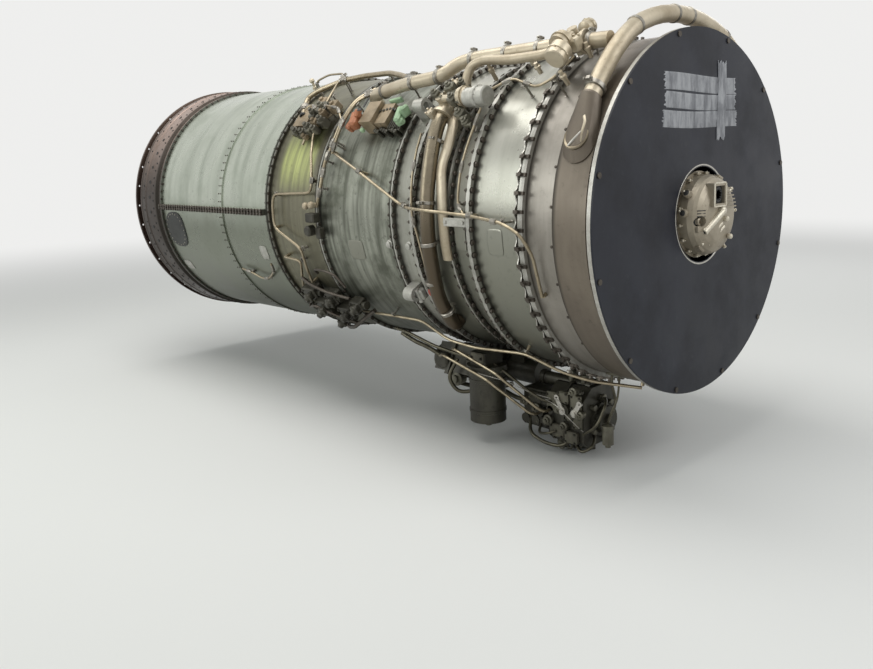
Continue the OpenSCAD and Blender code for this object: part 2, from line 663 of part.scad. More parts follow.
// Hub behind the turbine, with struts out to the exhaust case
module exhaust_struts() color("slategray") {
    turned([[exhaust_hub_r - 6, cone_front + seat], [exhaust_hub_r, cone_front + seat],
            [exhaust_hub_r, turbine_case_x0 - 12], [exhaust_hub_r - 6, turbine_case_x0 - 12],
            [exhaust_hub_r - 6, exhaust_strut_x + 14], [bearing_6_r + 14, exhaust_strut_x + 12],
            [bearing_6_r + seat, exhaust_strut_x + 12], [bearing_6_r + seat, exhaust_strut_x - 12],
            [bearing_6_r + 14, exhaust_strut_x - 12], [exhaust_hub_r - 6, exhaust_strut_x]]);
    around(8, 22.5) translate([exhaust_strut_x, 0, exhaust_hub_r + seat])
        linear_extrude(combustion_case_r - 6.5 - exhaust_hub_r - 2 * seat) lens(110, 26);
}

module tail_cone() color("slategray") turned([
    [0, cone_tip], [24, cone_tip + 4], [96, cone_tip + 90], [exhaust_hub_r - 14, cone_front - 110],
    [exhaust_hub_r, cone_front], [exhaust_hub_r - 4, cone_front], [exhaust_hub_r - 18, cone_front - 110],
    [92, cone_tip + 94], [0, cone_tip + 10]]);

// Bearings, whose bores run on the shafts
bearing_1_r = low_shaft_r + 34;
bearing_2_r = core_shaft_r + 26;
bearing_4_r = core_shaft_r + 26;
bearing_6_r = low_shaft_r + 34;
module bearing(x, shaft_r, outer_r) difference() {
    ring(x - 12, x + 12, shaft_r + running, outer_r);
    // Grooves beside the rolling track
    for (s = [-1, 1]) ring(x + s * 10.5 - 2, x + s * 10.5 + 2, shaft_r + 9, outer_r - 9);
}
bearing_1_x = vane_x - 34;
bearing_2_x = x_middle - 38;
bearing_4_x = can_rear + 76;
module main_bearings() color("silver") {
    bearing(bearing_1_x, low_shaft_r, bearing_1_r);
    bearing(bearing_2_x, core_shaft_r, bearing_2_r);
    bearing(bearing_4_x, core_shaft_r, bearing_4_r);
    bearing(exhaust_strut_x, low_shaft_r, bearing_6_r);
    bearing_web();
}

// Low pressure spool

module fan_disks() color("silver") {
    turned([[low_shaft_r + running, fan_row_1 - 14], [90, fan_row_1 - 14], [90, fan_row_1 - 6],
            [fan_hub_1 - 22, fan_row_1 - 8], [fan_hub_1 - 14, fan_row_1 - 44],
            [fan_hub_1, fan_row_1 - 44], [fan_hub_1, fan_row_1 + 44],
            [fan_hub_1 - 18, fan_row_1 + 44], [fan_hub_1 - 22, fan_row_1 + 8],
            [90, fan_row_1 + 6], [90, fan_row_1 + 14], [low_shaft_r + running, fan_row_1 + 14]]);
    turned([[low_shaft_r + running, fan_row_2 - 14], [100, fan_row_2 - 14], [100, fan_row_2 - 6],
            [fan_hub_2 - 22, fan_row_2 - 8], [fan_hub_2 - 16, fan_row_2 - 38],
            [fan_hub_2, fan_row_2 - 38], [fan_hub_2, fan_row_2 + 34],
            [fan_hub_2 - 16, fan_row_2 + 34], [fan_hub_2 - 22, fan_row_2 + 8],
            [100, fan_row_2 + 6], [100, fan_row_2 + 14], [low_shaft_r + running, fan_row_2 + 14]]);
}

// Twisted fan blade: the same section lofted outward through sections that turn
fan_chord = 88;
fan_thick = 6;
fan_camber = 7;
fan_root_stagger = 22;
fan_tip_stagger = 56;
fan_sections = 5;
fan_points = 6;
function camber_line(t, rise) = 4 * rise * t * (1 - t);
fan_outline = concat(
    [for (k = [0 : fan_points]) [(k / fan_points - 0.5) * fan_chord,
        camber_line(k / fan_points, fan_camber + fan_thick / 2)]],
    [for (k = [fan_points - 1 : -1 : 1]) [(k / fan_points - 0.5) * fan_chord,
        camber_line(k / fan_points, fan_camber - fan_thick / 2)]]);
module lofted_blade(r0, r1) {
    n = len(fan_outline);
    points = [for (j = [0 : fan_sections])
        let(a = mix(fan_root_stagger, fan_tip_stagger, j / fan_sections))
        for (p = fan_outline) [p.x * cos(a) - p.y * sin(a), p.x * sin(a) + p.y * cos(a),
                               mix(r0, r1, j / fan_sections)]];
    faces = [for (j = [0 : fan_sections - 1]) for (k = [0 : n - 1])
        for (half = [0, 1]) half == 0
            ? [j * n + k, j * n + (k + 1) % n, (j + 1) * n + k]
            : [j * n + (k + 1) % n, (j + 1) * n + (k + 1) % n, (j + 1) * n + k]];
    polyhedron(points, concat(faces, [[for (k = [0 : n - 1]) n - 1 - k]],
                              [[for (k = [0 : n - 1]) fan_sections * n + k]]), convexity = 4);
}
module fan_blades_front() color("silver") around(fan_blades_n)
    translate([fan_row_1, 0, 0]) lofted_blade(fan_hub_1 + running, fan_tip_1);

module fan_blades_rear() color("silver")
    row(fan_rear_blades_n, fan_row_2, fan_hub_2 + running, fan_tip_2, 62, 6, 5, 42);

low_last = low_first - low_pitch * (low_rows - 1);
module low_compressor_drum() color("silver") turned([
    [low_shaft_r + running, low_last - 10], [80, low_last - 10], [80, low_last - 4],
    [low_hub_r - 18, low_last - 4], [low_hub_r - 18, low_last - 16], [low_hub_r, low_last - 16],
    [low_hub_r, low_first + 16], [low_hub_r - 16, low_first + 16], [low_hub_r - 16, low_last + 4],
    [80, low_last + 4], [80, low_last + 10], [low_shaft_r + running, low_last + 10]]);

module low_compressor_blades() color("silver") for (i = [0 : low_rows - 1]) {
    x = low_first - low_pitch * i;
    row(low_blades_n, x, low_hub_r + running, low_case_in(x - 10) - tip_gap, 24, 2.5, 2.6, 40);
}

low_shaft_front = bearing_1_x + 22;
low_shaft_rear = exhaust_strut_x - 22;
module low_shaft() color("gray") difference() {
    bar_x(low_shaft_rear, low_shaft_front, low_shaft_r, mid);
    bar_x(low_shaft_rear - over, low_shaft_front + over, low_shaft_bore_r, mid);
}

module turbine_disk(x, hub, bore) turned([
    [bore, x - 18], [bore + 26, x - 18], [bore + 32, x - 8], [hub - 22, x - 6],
    [hub - 14, x - 15], [hub, x - 15], [hub, x + 15], [hub - 14, x + 15],
    [hub - 22, x + 6], [bore + 32, x + 8], [bore + 26, x + 18], [bore, x + 18]]);

module low_turbine_disks() color("gray") for (i = [0 : low_turbine_rows - 1])
    turbine_disk(low_turbine_first - low_turbine_pitch * i, low_turbine_hub(i), low_shaft_r + running);

module low_turbine_blades() color("silver") for (i = [0 : low_turbine_rows - 1])
    row(low_turbine_blades_n, low_turbine_first - low_turbine_pitch * i, low_turbine_hub(i) + running,
        low_turbine_tip(i) + 4 - tip_gap, 32, 5, 5, -32);

// High pressure spool

drum_x0 = core_last - 14;
drum_x1 = core_first + 14;
core_shaft_front = x_middle + 4;
core_shaft_rear = core_turbine_x - 24;
// Bevel gears of the tower shaft, drawn as the cones on which their teeth roll
tower_top = -62;
pinion_h = 34;
pinion_r = 34;
pinion_top_r = 20;
bevel_r = pinion_h - tower_top;
bevel_gap = 1;
module core_rotor_drum() color("silver") {
    // Shaft, front and rear hubs and drum in one turned piece
    turned([[core_shaft_bore_r, core_shaft_rear], [core_shaft_r, core_shaft_rear],
            [core_shaft_r, drum_x0 - 20], [core_shaft_r + 14, drum_x0 - 14],
            [core_hub_rear - 12, drum_x0 + 4], [core_hub_rear - 12, drum_x0], [core_hub(drum_x0), drum_x0],
            [core_hub(drum_x1), drum_x1], [core_hub_front - 12, drum_x1], [core_hub_front - 12, drum_x1 - 12],
            [core_hub_rear - 14, drum_x0 + 14], [core_shaft_r + 10, drum_x0 + 2],
            [core_shaft_r, drum_x0 + 8], [core_shaft_r, core_shaft_front - 26],
            [bevel_r - 20, core_shaft_front - 22], [bevel_r, tower_x - pinion_r - bevel_gap - 8],
            [bevel_r, tower_x - pinion_r - bevel_gap], [-tower_top, tower_x - pinion_top_r - bevel_gap],
            [core_shaft_bore_r, tower_x - pinion_top_r - bevel_gap]]);
    // Front web of the drum
    turned([[core_shaft_r + running, drum_x1 - 26], [core_shaft_r + 12, drum_x1 - 26],
            [core_hub_front - 13, drum_x1 - 12.5], [core_hub_front - 13, drum_x1 - 6],
            [core_shaft_r + 12, drum_x1 - 12], [core_shaft_r + running, drum_x1 - 12]]);
}

module core_compressor_blades() color("silver") for (i = [0 : core_rows - 1]) {
    x = core_first - core_pitch * i;
    row(core_blades_n, x, core_hub(x) + 1.4, core_case_in(x - 10) - tip_gap, 22, 2.2, 2.4, 38);
}

module core_turbine_wheel() color("gray")
    turbine_disk(core_turbine_x, core_turbine_hub, core_shaft_r + running);

module core_turbine_blades() color("silver")
    row(core_turbine_blades_n, core_turbine_x, core_turbine_hub + running, core_turbine_tip + 4 - tip_gap,
        34, 6, 6, -30);

// Tower shaft, turned by the high spool's bevel, down to the gearbox

tower_bottom = -(gear_top_r + 44);
module tower_shaft() color("gray") {
    translate([tower_x, 0, tower_bottom])
        cylinder(h = tower_top - tower_bottom, r = tower_r, $fn = mid);
    translate([tower_x, 0, tower_top - pinion_h])
        cylinder(h = pinion_h, r1 = pinion_r, r2 = pinion_top_r, $fn = mid);
}

// Accessories below

module gearbox_outline() difference() {
    circle(r = gear_bottom_r, $fn = big);
    circle(r = gear_top_r, $fn = big);
    for (s = [-1, 1]) polygon([[0, 0], [s * 900 * sin(gear_half_angle), -900 * cos(gear_half_angle)],
                               [s * 900, -200], [s * 900, 900], [0, 900]]);
}
module gearbox_housing() color("#4a4c42") difference() {
    union() {
        along_x(gear_x0, gear_x1) gearbox_outline();
        // Flange where the two halves of the casting meet
        along_x(gear_x0 + 66, gear_x0 + 84) intersection() {
            difference() {
                circle(r = gear_bottom_r + 12, $fn = big);
                circle(r = gear_top_r, $fn = big);
            }
            polygon([[0, 0], [900 * sin(gear_half_angle + 1), -900 * cos(gear_half_angle + 1)],
                     [-900 * sin(gear_half_angle + 1), -900 * cos(gear_half_angle + 1)]]);
        }
        // Neck up to the lower strut, which the tower shaft comes down
        translate([tower_x, 0, -gear_top_r - 10])
            cylinder(h = 10 + gear_top_r - middle_skin_r - seat, r = 30, $fn = mid);
        // Round pads for the accessories
        for (y = pad_y) for (s = [0, 1])
            translate([0, y, -gear_bottom_r + 46 + abs(y) * 0.2])
                bar_x(s == 0 ? gear_x0 - 8 : gear_x1 - 2, s == 0 ? gear_x0 + 2 : gear_x1 + 8, 50, mid);
    }
    translate([tower_x, 0, tower_bottom - 6])
        cylinder(h = 400, r = tower_r + running, $fn = mid);
}
pad_y = [-200, -78, 78, 200];
function pad_z(y) = -gear_bottom_r + 46 + abs(y) * 0.2;

filter_x = gear_x1 + 8 + filter_r + 4;
filter_y = -273;
filter_top = pad_z(-200) + 20;
module oil_filter_can() color("#4b4034") {
    translate([filter_x, filter_y, filter_top - filter_h]) {
        cylinder(h = filter_h, r = filter_r, $fn = mid);
        translate([0, 0, filter_h]) cylinder(h = 16, r = filter_r + 7, $fn = mid);
        translate([0, 0, -12]) cylinder(h = 12, r = 22, $fn = mid);
        // Square bypass block on top
        translate([-36, -44, filter_h + 16]) cube([72, 84, 46]);
    }
    // Arm to the gearbox pad
    translate([0, filter_y + 41, pad_z(-200) - 11]) bar_x(gear_x1 + 8 + seat, filter_x, 12, mid);
}

module oil_tank() color("#55574c") along_x(gear_x1 + 30, gear_x1 + 290) difference() {
    intersection() {
        circle(r = gear_bottom_r + 24, $fn = big);
        polygon([[0, 0], [900 * sin(62), -900 * cos(62)], [900 * sin(20), -900 * cos(20)]]);
    }
    circle(r = fan_skin_r + 18 + seat, $fn = big);
}

module starter() color("#5a5c52") translate([0, 200, pad_z(200)]) {
    bar_x(gear_x0 - 210, gear_x0 - 8 - seat, 48, mid);
    bar_x(gear_x0 - 120, gear_x0 - 104, 58, mid);
    bar_x(gear_x0 - 20, gear_x0 - 8 - seat, 56, mid);
}

pump_len = 150;
module fuel_pump() color("#3f413a") {
    translate([0, -78, pad_z(-78)]) {
        bar_x(gear_x1 + 8 + seat, gear_x1 + 8 + pump_len, 46, mid);
        bar_x(gear_x1 + 8 + seat, gear_x1 + 22, 56, mid);
        translate([gear_x1 + 40, -34, 30]) cube([60, 68, 36]);
    }
    // Hydraulic pump on the rear face
    translate([0, -78, pad_z(-78)]) {
        bar_x(gear_x0 - 120, gear_x0 - 8 - seat, 40, mid);
        bar_x(gear_x0 - 22, gear_x0 - 8 - seat, 52, mid);
    }
}

// Fuel control: a stepped casting ahead of the pump with ring fittings below
control_x0 = gear_x1 + 8 + pump_len + seat;
control_rear_len = 130;
control_x1 = control_x0 + 274;
control_y = -120;
control_z = pad_z(-78) - 86;
control_side = control_y - 84;
control_stub_y = control_y - 82;
function control_stub_x(k) = control_x0 + 24 + 44 * k;
// Ends of the two straight lines on the control's left side
line_end_y = control_side - 12;
function line_x(k) = control_x0 + 100 + 45 * k;
function line_z(k) = control_z - 4 + 19 * k;
module fuel_control() color("#44463c") difference() {
    union() {
        translate([control_x0, control_y - 60, control_z - 70])
            cube([control_rear_len, 130, 130]);
        // Main body, with its front corners cut off and a ledge round its split
        along_x(control_x0 + control_rear_len - over, control_x1) translate([control_y, control_z])
            polygon([[-84, -74], [-64, -94], [60, -94], [84, -70], [84, 72], [58, 100], [-40, 100],
                     [-84, 62]]);
        along_x(control_x0 + control_rear_len + 56, control_x0 + control_rear_len + 68)
            translate([control_y, control_z]) polygon([[-90, -78], [-68, -100], [64, -100], [90, -74],
                [90, 76], [62, 106], [-44, 106], [-90, 66]]);
        // Drive pad at the rear, governor dome at the front
        translate([0, control_y + 10, control_z - 12]) {
            bar_x(control_x0, control_x1 + 10, 57, mid);
            bar_x(control_x1, control_x1 + 30, 46, mid);
            bar_x(control_x1, control_x1 + 42, 20, mid);
        }
        // Servo cylinder along the top, with its end caps
        translate([0, control_y - 6, control_z + 92]) {
            bar_x(control_x0 + 50, control_x1 - 20, 22, mid);
            bar_x(control_x0 + 44, control_x0 + 62, 26, mid);
            bar_x(control_x1 - 34, control_x1 - 16, 26, mid);
        }
        // Stubs along the left and the ends of the two straight lines
        for (k = [0 : 1]) translate([control_stub_x(k), control_stub_y, control_z - 42])
            rotate([-90, 0, 0]) cylinder(h = 24, r = 17, $fn = small);
        for (k = [0, 1]) translate([line_x(k), line_end_y, line_z(k)])
            rotate([-90, 0, 0]) cylinder(h = 40, r = 14, $fn = small);
        // Fittings that hang below
        for (k = [0 : 3]) translate([control_x1 - 110 + 26 * k, control_y - 36 + 14 * k, control_z - 124])
            cylinder(h = 34, r = 9, $fn = small);
        // Boss that carries the two levers
        translate([lever_x, control_side - 16, lever_z]) rotate([-90, 0, 0])
            cylinder(h = 18, r = 20, $fn = mid);
        translate([lever_x + lever_pitch, control_side - 16, lever_z]) rotate([-90, 0, 0])
            cylinder(h = 18, r = 16, $fn = mid);
    }
    for (dx = [0, lever_pitch]) translate([lever_x + dx, control_side - 17, lever_z]) rotate([-90, 0, 0])
        cylinder(h = 60, r = pivot_r + running, $fn = mid);
}

// Levers on the fuel control, each on a spindle in its boss
pivot_r = 7;
lever_x = control_x0 + 204;
lever_pitch = 49;
lever_z = control_z + 26;
module lever(x, reach, tilt) translate([x, control_side - 16 - seat, lever_z])
    rotate([90, 0, 0]) rotate(tilt) {
        difference() {
            union() {
                cylinder(h = 8, r = 13, $fn = mid);
                translate([0, -8, 0]) cube([reach, 16, 6]);
                translate([reach, 0, 0]) cylinder(h = 6, r = 10, $fn = mid);
            }
            translate([reach, 0, -over]) cylinder(h = 10, r = 3.5, $fn = small);
        }
        translate([0, 0, -48]) cylinder(h = 60, r = pivot_r, $fn = mid);
    }
module power_lever() color("silver") lever(lever_x, 46, 120);
module shutoff_lever() color("silver") lever(lever_x + lever_pitch, 40, 60);

// Air ducts on top

duct_r = fan_skin_r + 18 + air_duct_r + 30;
valve_x = x_inlet + 44;
valve_len = 76;
valve_angle = 33;
valve_r = duct_r + 8;
valve_bore_r = air_duct_r;
duct_start_x = x_barrel + 150;
module pneumatic_duct() color("wheat") {
    pipe([[duct_start_x, 40, skin_at(duct_start_x - air_duct_r) + 0.5], [duct_start_x + 2, 40, duct_r - 40],
          [x_middle - 20, 41.5, duct_r], [x_exit + 24, 40, duct_r],
          [x_exit + 64, 35, duct_r + 8], [x_exit + 130, valve_angle, duct_r + 8],
          [valve_x - valve_len / 2 - seat, valve_angle, duct_r + 8]], air_duct_r, 20, 60);
    pipe([[valve_x + valve_len / 2 + seat, valve_angle, duct_r + 8],
          [valve_x + valve_len / 2 + 20, valve_angle, duct_r + 8],
          [foot_x + 13 - ice_duct_r, valve_angle, duct_r + 6]], air_duct_r, 20, 12);
}

module anti_ice_ducts() color("wheat") {
    for (s = [-1, 1]) pipe([[foot_x + 6, s * (foot_angle_top - 0.1), foot_r],
          [foot_x + 6, s * (foot_angle_top - 4), foot_r + 1],
          [foot_x + 14, s * 34, duct_r - 8], [foot_x + 10, s * 24, duct_r],
          [foot_x + 6, s * 0.05, duct_r]], ice_duct_r, 20, 40);
}

bleed_x = x_exit + 88;
bleed_r = exit_skin_r + 14 + bleed_duct_r;
bleed_valve_angle = 50;
bleed_valve_r = bleed_r + 16;
bleed_valve_len = 80;
// A place on the line through the bleed valve's throat, at a distance from its middle
function beside_valve(d) = [bleed_x, bleed_valve_angle + atan(d / bleed_valve_r), norm([bleed_valve_r, d])];
module bleed_duct() color("#5a4a3a") {
    pipe([beside_valve(bleed_valve_len / 2 + seat), beside_valve(bleed_valve_len / 2 + 26),
          [bleed_x + 4, 74, bleed_r + 2], [bleed_x + 8, 90, bleed_r], [bleed_x, 106, bleed_r],
          [bleed_x - 26, 120, bleed_r],
          [bleed_x - 34, 133, bleed_r], [bleed_x - 34, 133.4, exit_skin_r + 11]], bleed_duct_r, 20, 40);
    // Short elbow from the valve into the case
    pipe([beside_valve(-bleed_valve_len / 2 - seat), beside_valve(-bleed_valve_len / 2 - 34),
          [bleed_x, bleed_valve_angle - 7.9, exit_skin_r + 6.5]], bleed_duct_r - 2, 20, 24);
}

// Valve body with a throat, a spindle bore and a round can
module valve_body(throat_r, axis_len, can_out) difference() {
    union() {
        translate([-axis_len / 2, 0, 0]) rotate([0, 90, 0])
            cylinder(h = axis_len, r = throat_r + 6, $fn = mid);
        for (s = [-1, 1]) translate([s * (axis_len / 2 - 5) - 5, 0, 0]) rotate([0, 90, 0])
            cylinder(h = 10, r = throat_r + 13, $fn = mid);
        cylinder(h = throat_r + 24, r = 15, $fn = mid);
        translate([0, 0, -throat_r - 12]) cylinder(h = 14, r = 12, $fn = mid);
        // Round can on an arm
        translate([0, 0, throat_r + 14]) rotate([90, 0, 0]) cylinder(h = can_out, r = 11, $fn = mid);
        translate([0, -can_out + over, throat_r + 14]) rotate([90, 0, 0])
            cylinder(h = 34, r = valve_can_r, $fn = mid);
        translate([0, -can_out - 14, throat_r + 14]) rotate([90, 0, 0])
            cylinder(h = 5, r = valve_can_r + 4, $fn = mid);
    }
    translate([-axis_len, 0, 0]) rotate([0, 90, 0])
        cylinder(h = 2 * axis_len, r = throat_r, $fn = mid);
    translate([0, 0, -throat_r - 30]) cylinder(h = 2 * throat_r + 50, r = spindle_r + running, $fn = mid);
}
spindle_r = 4;
disc_t = 4;
module butterfly(throat_r) {
    rotate([0, 90, 0]) translate([0, 0, -disc_t / 2])
        cylinder(h = disc_t, r = throat_r - 0.6, $fn = mid);
    translate([0, 0, -throat_r - 11]) cylinder(h = 2 * throat_r + 29, r = spindle_r, $fn = mid);
}
module anti_ice_valve() color("tan") seated(valve_x, valve_angle, valve_r)
    valve_body(valve_bore_r, valve_len, 46);
module anti_ice_butterfly() color("silver") seated(valve_x, valve_angle, valve_r)
    butterfly(valve_bore_r);

module bleed_valve_place() seated(bleed_x, bleed_valve_angle, bleed_valve_r) rotate(90) children();
module bleed_valve() color("tan") bleed_valve_place() valve_body(bleed_duct_r - 4, bleed_valve_len, 92);
module bleed_butterfly() color("silver") bleed_valve_place() butterfly(bleed_duct_r - 4);

// Thin tubes, each held off the skin by short posts at the places listed

skin_table = [[x_duct, rear_duct_rear_r], [x_combustion, rear_duct_front_r],
              [x_combustion + 1, rear_duct_front_r - 4], [x_barrel, barrel_skin_r],
              [x_middle, middle_skin_r - 3], [x_exit, middle_skin_r], [x_step, exit_skin_r],
              [x_fan, fan_skin_r], [x_inlet, fan_skin_r], [x_inlet + 11, inlet_skin_r],
              [band_x0 - 1, inlet_skin_r], [band_x0, band_r], [x_front, band_r]];
function skin_at(x) = lookup(x, skin_table);
post_r = 6;
module post(p) seated(p.x, p.y, skin_at(p.x) + seat)
    cylinder(h = p.z - tube_r - skin_at(p.x) - 2 * seat, r = post_r, $fn = 24);
module tube(route, posts) {
    pipe(route, tube_r, 12, 30);
    for (k = posts) post(route[k]);
}
low = 18;
high = 30;
// The same places given as X, Y and Z
function spot(x, y, z) = [x, atan2(-y, z), norm([y, z])];
gear_side = 180 - gear_half_angle - 0.05;
over_clamps = fan_skin_r + 48;
over_bleed = bleed_r + bleed_duct_r + 10;
module fluid_tubes() color("silver") {
    tube([[x_barrel + 62, 64.8, barrel_skin_r + low], [x_barrel + 110, 67, barrel_skin_r + high],
          [x_barrel + 260, 73.4, barrel_skin_r + high], [x_exit - 30, 85, middle_skin_r + high],
          [x_exit + 40, 85.9, over_bleed], [x_exit + 140, 86.5, over_bleed],
          [x_fan + 20, 87.5, fan_skin_r + high], [x_inlet - 40, 89, over_clamps],
          [x_inlet + 30, 92, over_clamps], [x_inlet + 44, 99, fan_skin_r + low],
          [x_inlet + 46, 112, inlet_skin_r + low]], [0, 2, 6, 10]);
    tube([[x_barrel - 40, 44, barrel_skin_r + low + 4], [x_barrel - 100, 54.8, barrel_skin_r + high],
          [x_barrel - 20, 76.6, barrel_skin_r + low + 6], [x_barrel - 30, 81.5, barrel_skin_r + low],
          [x_combustion + 73, 82.4, rear_duct_front_r + low],
          [x_combustion + 60, 85, rear_duct_front_r + low],
          [x_combustion + 59, 96.1, rear_duct_front_r + low],
          [x_combustion + 215, 104.4, barrel_skin_r + high],
          [x_combustion + 190, 120, barrel_skin_r + high]], [0, 2, 4, 6, 8]);
    tube([[x_combustion + 80, 108.7, rear_duct_front_r + low],
          [x_combustion + 180, 109.8, barrel_skin_r + high],
          [x_combustion + 160, 114, barrel_skin_r + high],
          [x_combustion + 98, 124, rear_duct_front_r + low]], [0, 3]);
    tube([[x_combustion + 260, 131.8, barrel_skin_r + low],
          [x_barrel + 60, 133, barrel_skin_r + high], [x_middle - 20, 134.5, middle_skin_r + high],
          [x_exit + 20, 137, bleed_r + bleed_duct_r + 14], [x_step - 30, 139, bleed_r + bleed_duct_r + 14],
          [x_fan + 50, 141, fan_skin_r + high], [x_inlet - 40, 146, over_clamps],
          [x_inlet + 40, 150, over_clamps], [x_front - 80, 160, band_r + low]], [0, 1, 5, 8]);
    // Two straight lines from the gearbox's side, past the filter, to the fuel control
    for (k = [0, 1]) pipe([[gear_x0 + 35 + 55 * k, gear_side, gear_bottom_r - 45 - 31 * k],
          [gear_x0 + 35 + 55 * k, gear_side - 2.4, gear_bottom_r - 45 - 31 * k],
          spot(gear_x0 + 146 + 56 * k, filter_y - 77, -485 + 31 * k),
          spot(filter_x + 84 + 40 * k, filter_y - 77, -540 + 29 * k),
          spot(line_x(k), line_end_y - 34, line_z(k)),
          spot(line_x(k), line_end_y - seat, line_z(k))], tube_r, 12, 26);
}

// Boxes at the upper left of the barrel duct

module case_box(x0, angle, size) {
    x1 = x0 + size.x;
    top = max(skin_at(x0), skin_at(x1)) + size.z;
    rotate([angle, 0, 0]) translate([0, size.y / 2, 0]) rotate([90, 0, 0]) linear_extrude(size.y)
        polygon([[x0, skin_at(x0) + seat], [x1, skin_at(x1) + seat], [x1, top], [x0, top]]);
}
module ignition_boxes() color("tan") {
    case_box(x_barrel + 205, 51, [66, 90, 62]);
    case_box(x_barrel + 276, 51, [58, 84, 50]);
    case_box(x_combustion + 112, 50, [86, 96, 48]);
}

inlet_case();
anti_ice_band();
inlet_guide_vanes();
front_bearing_case();
nose_housing();
inlet_cover();
case_bolts();
fan_case_front();
fan_case_rear();
fan_stator_vanes();
fan_exit_case();
low_compressor_case();
low_stator_vanes();
intermediate_case();
compressor_duct();
combustion_duct();
rear_duct_upper();
rear_duct_lower();
rear_mount_ring();
exhaust_flange();
core_compressor_case();
core_stator_vanes();
diffuser_case();
combustion_cans();
fuel_manifold();
turbine_case();
turbine_nozzle_vanes();
turbine_exhaust_case();
exhaust_struts();
tail_cone();
main_bearings();
gearbox_housing();
oil_filter_can();
oil_tank();
starter();
fuel_pump();
fuel_control();
pneumatic_duct();
anti_ice_ducts();
bleed_duct();
anti_ice_valve();
bleed_valve();
fluid_tubes();
ignition_boxes();
fan_disks();
fan_blades_front();
fan_blades_rear();
low_compressor_drum();
low_compressor_blades();
low_shaft();
low_turbine_disks();
low_turbine_blades();
core_rotor_drum();
core_compressor_blades();
core_turbine_wheel();
core_turbine_blades();
tower_shaft();
power_lever();
shutoff_lever();
anti_ice_butterfly();
bleed_butterfly();
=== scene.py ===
import random
from itertools import product
from math import atan, atan2, ceil, cos, degrees, hypot, pi, prod, radians, sin

import bpy
from mathutils import Matrix, Vector


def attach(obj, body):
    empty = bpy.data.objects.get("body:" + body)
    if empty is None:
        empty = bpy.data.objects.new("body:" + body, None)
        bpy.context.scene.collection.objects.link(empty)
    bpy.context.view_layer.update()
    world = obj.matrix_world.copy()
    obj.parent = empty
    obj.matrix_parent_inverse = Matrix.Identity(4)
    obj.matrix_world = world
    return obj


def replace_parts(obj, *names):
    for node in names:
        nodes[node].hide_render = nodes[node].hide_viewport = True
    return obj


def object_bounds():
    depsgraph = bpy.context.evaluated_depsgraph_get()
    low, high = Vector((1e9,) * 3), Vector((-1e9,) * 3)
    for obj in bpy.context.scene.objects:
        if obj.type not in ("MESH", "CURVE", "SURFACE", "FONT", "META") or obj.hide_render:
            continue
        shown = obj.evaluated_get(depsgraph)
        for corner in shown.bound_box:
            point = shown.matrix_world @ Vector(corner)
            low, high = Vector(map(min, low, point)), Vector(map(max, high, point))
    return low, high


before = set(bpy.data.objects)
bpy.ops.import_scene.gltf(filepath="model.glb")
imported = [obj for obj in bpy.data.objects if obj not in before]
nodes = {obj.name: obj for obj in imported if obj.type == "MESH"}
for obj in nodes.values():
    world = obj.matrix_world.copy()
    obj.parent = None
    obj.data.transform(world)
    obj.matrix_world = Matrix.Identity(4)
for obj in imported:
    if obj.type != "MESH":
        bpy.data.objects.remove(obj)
cad_low, cad_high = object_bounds()
MM = 0.001
random.seed(7)

# Places on the engine in millimetres, as in the solids: stations along the axis,
# skin radii there, and clock angles (0 is the top, 90 the left side)
X_RING, X_DUCT, X_COMBUSTION, X_BARREL = 52, 236, 1183, 1511
X_MIDDLE, X_EXIT, X_STEP, X_FAN = 1924, 2030, 2193, 2308
X_INLET, X_BAND, X_FRONT = 2513, 2617, 2760
SKIN = [(0, 538), (X_DUCT, 534), (X_COMBUSTION, 523), (X_COMBUSTION + 1, 519), (X_BARREL, 509), (X_MIDDLE, 494),
    (X_MIDDLE + 1, 494), (X_EXIT, 497), (X_STEP, 487), (X_FAN, 515), (X_INLET, 515), (X_BAND - 1, 516),
    (X_BAND, 524), (X_FRONT, 524)]
STRAP_X = 802


def skin(x):
    """Radius of the outer skin at a station."""
    for (x0, r0), (x1, r1) in zip(SKIN, SKIN[1:]):
        if x <= x1:
            return r0 + (r1 - r0) * (x - x0) / (x1 - x0)
    return SKIN[-1][1]


def turned(angle, axis):
    """Matrix of a turn in degrees about an axis."""
    return Matrix.Rotation(radians(angle), 4, axis)


def at(x, y, z):
    """Matrix of a plain place in millimetres."""
    return Matrix.Translation((x * MM, y * MM, z * MM))


def seated(x, angle, r):
    """Matrix of a place on the engine: Z points outward and X forward."""
    return turned(angle, "X") @ at(x, 0, r)


def place(x, angle, r):
    """A place on the engine as a vector in metres."""
    return seated(x, angle, r).to_translation()


def along(p, q):
    """Matrix at p with local Z towards q; both in metres."""
    turn = (Vector(q) - Vector(p)).to_track_quat("Z", "Y").to_matrix().to_4x4()
    return Matrix.Translation(p) @ turn


FORWARD, BACK = turned(90, "Y"), turned(-90, "Y")   # local Z points along +X, -X
LEFT, RIGHT = turned(90, "X"), turned(-90, "X")     # local Z points along -Y, +Y
DOWN = turned(180, "X")                             # local Z points along -Z


def loft(rings, sides):
    """Faces over a row of rings of points, closed at both ends."""
    faces = []
    last = (rings - 1) * sides
    for j in range(0, last, sides):
        for k in range(sides):
            a, b = j + k, j + (k + 1) % sides
            faces.append((a, b, b + sides, a + sides))
    return faces + [tuple(range(sides))[::-1], tuple(range(last, last + sides))]


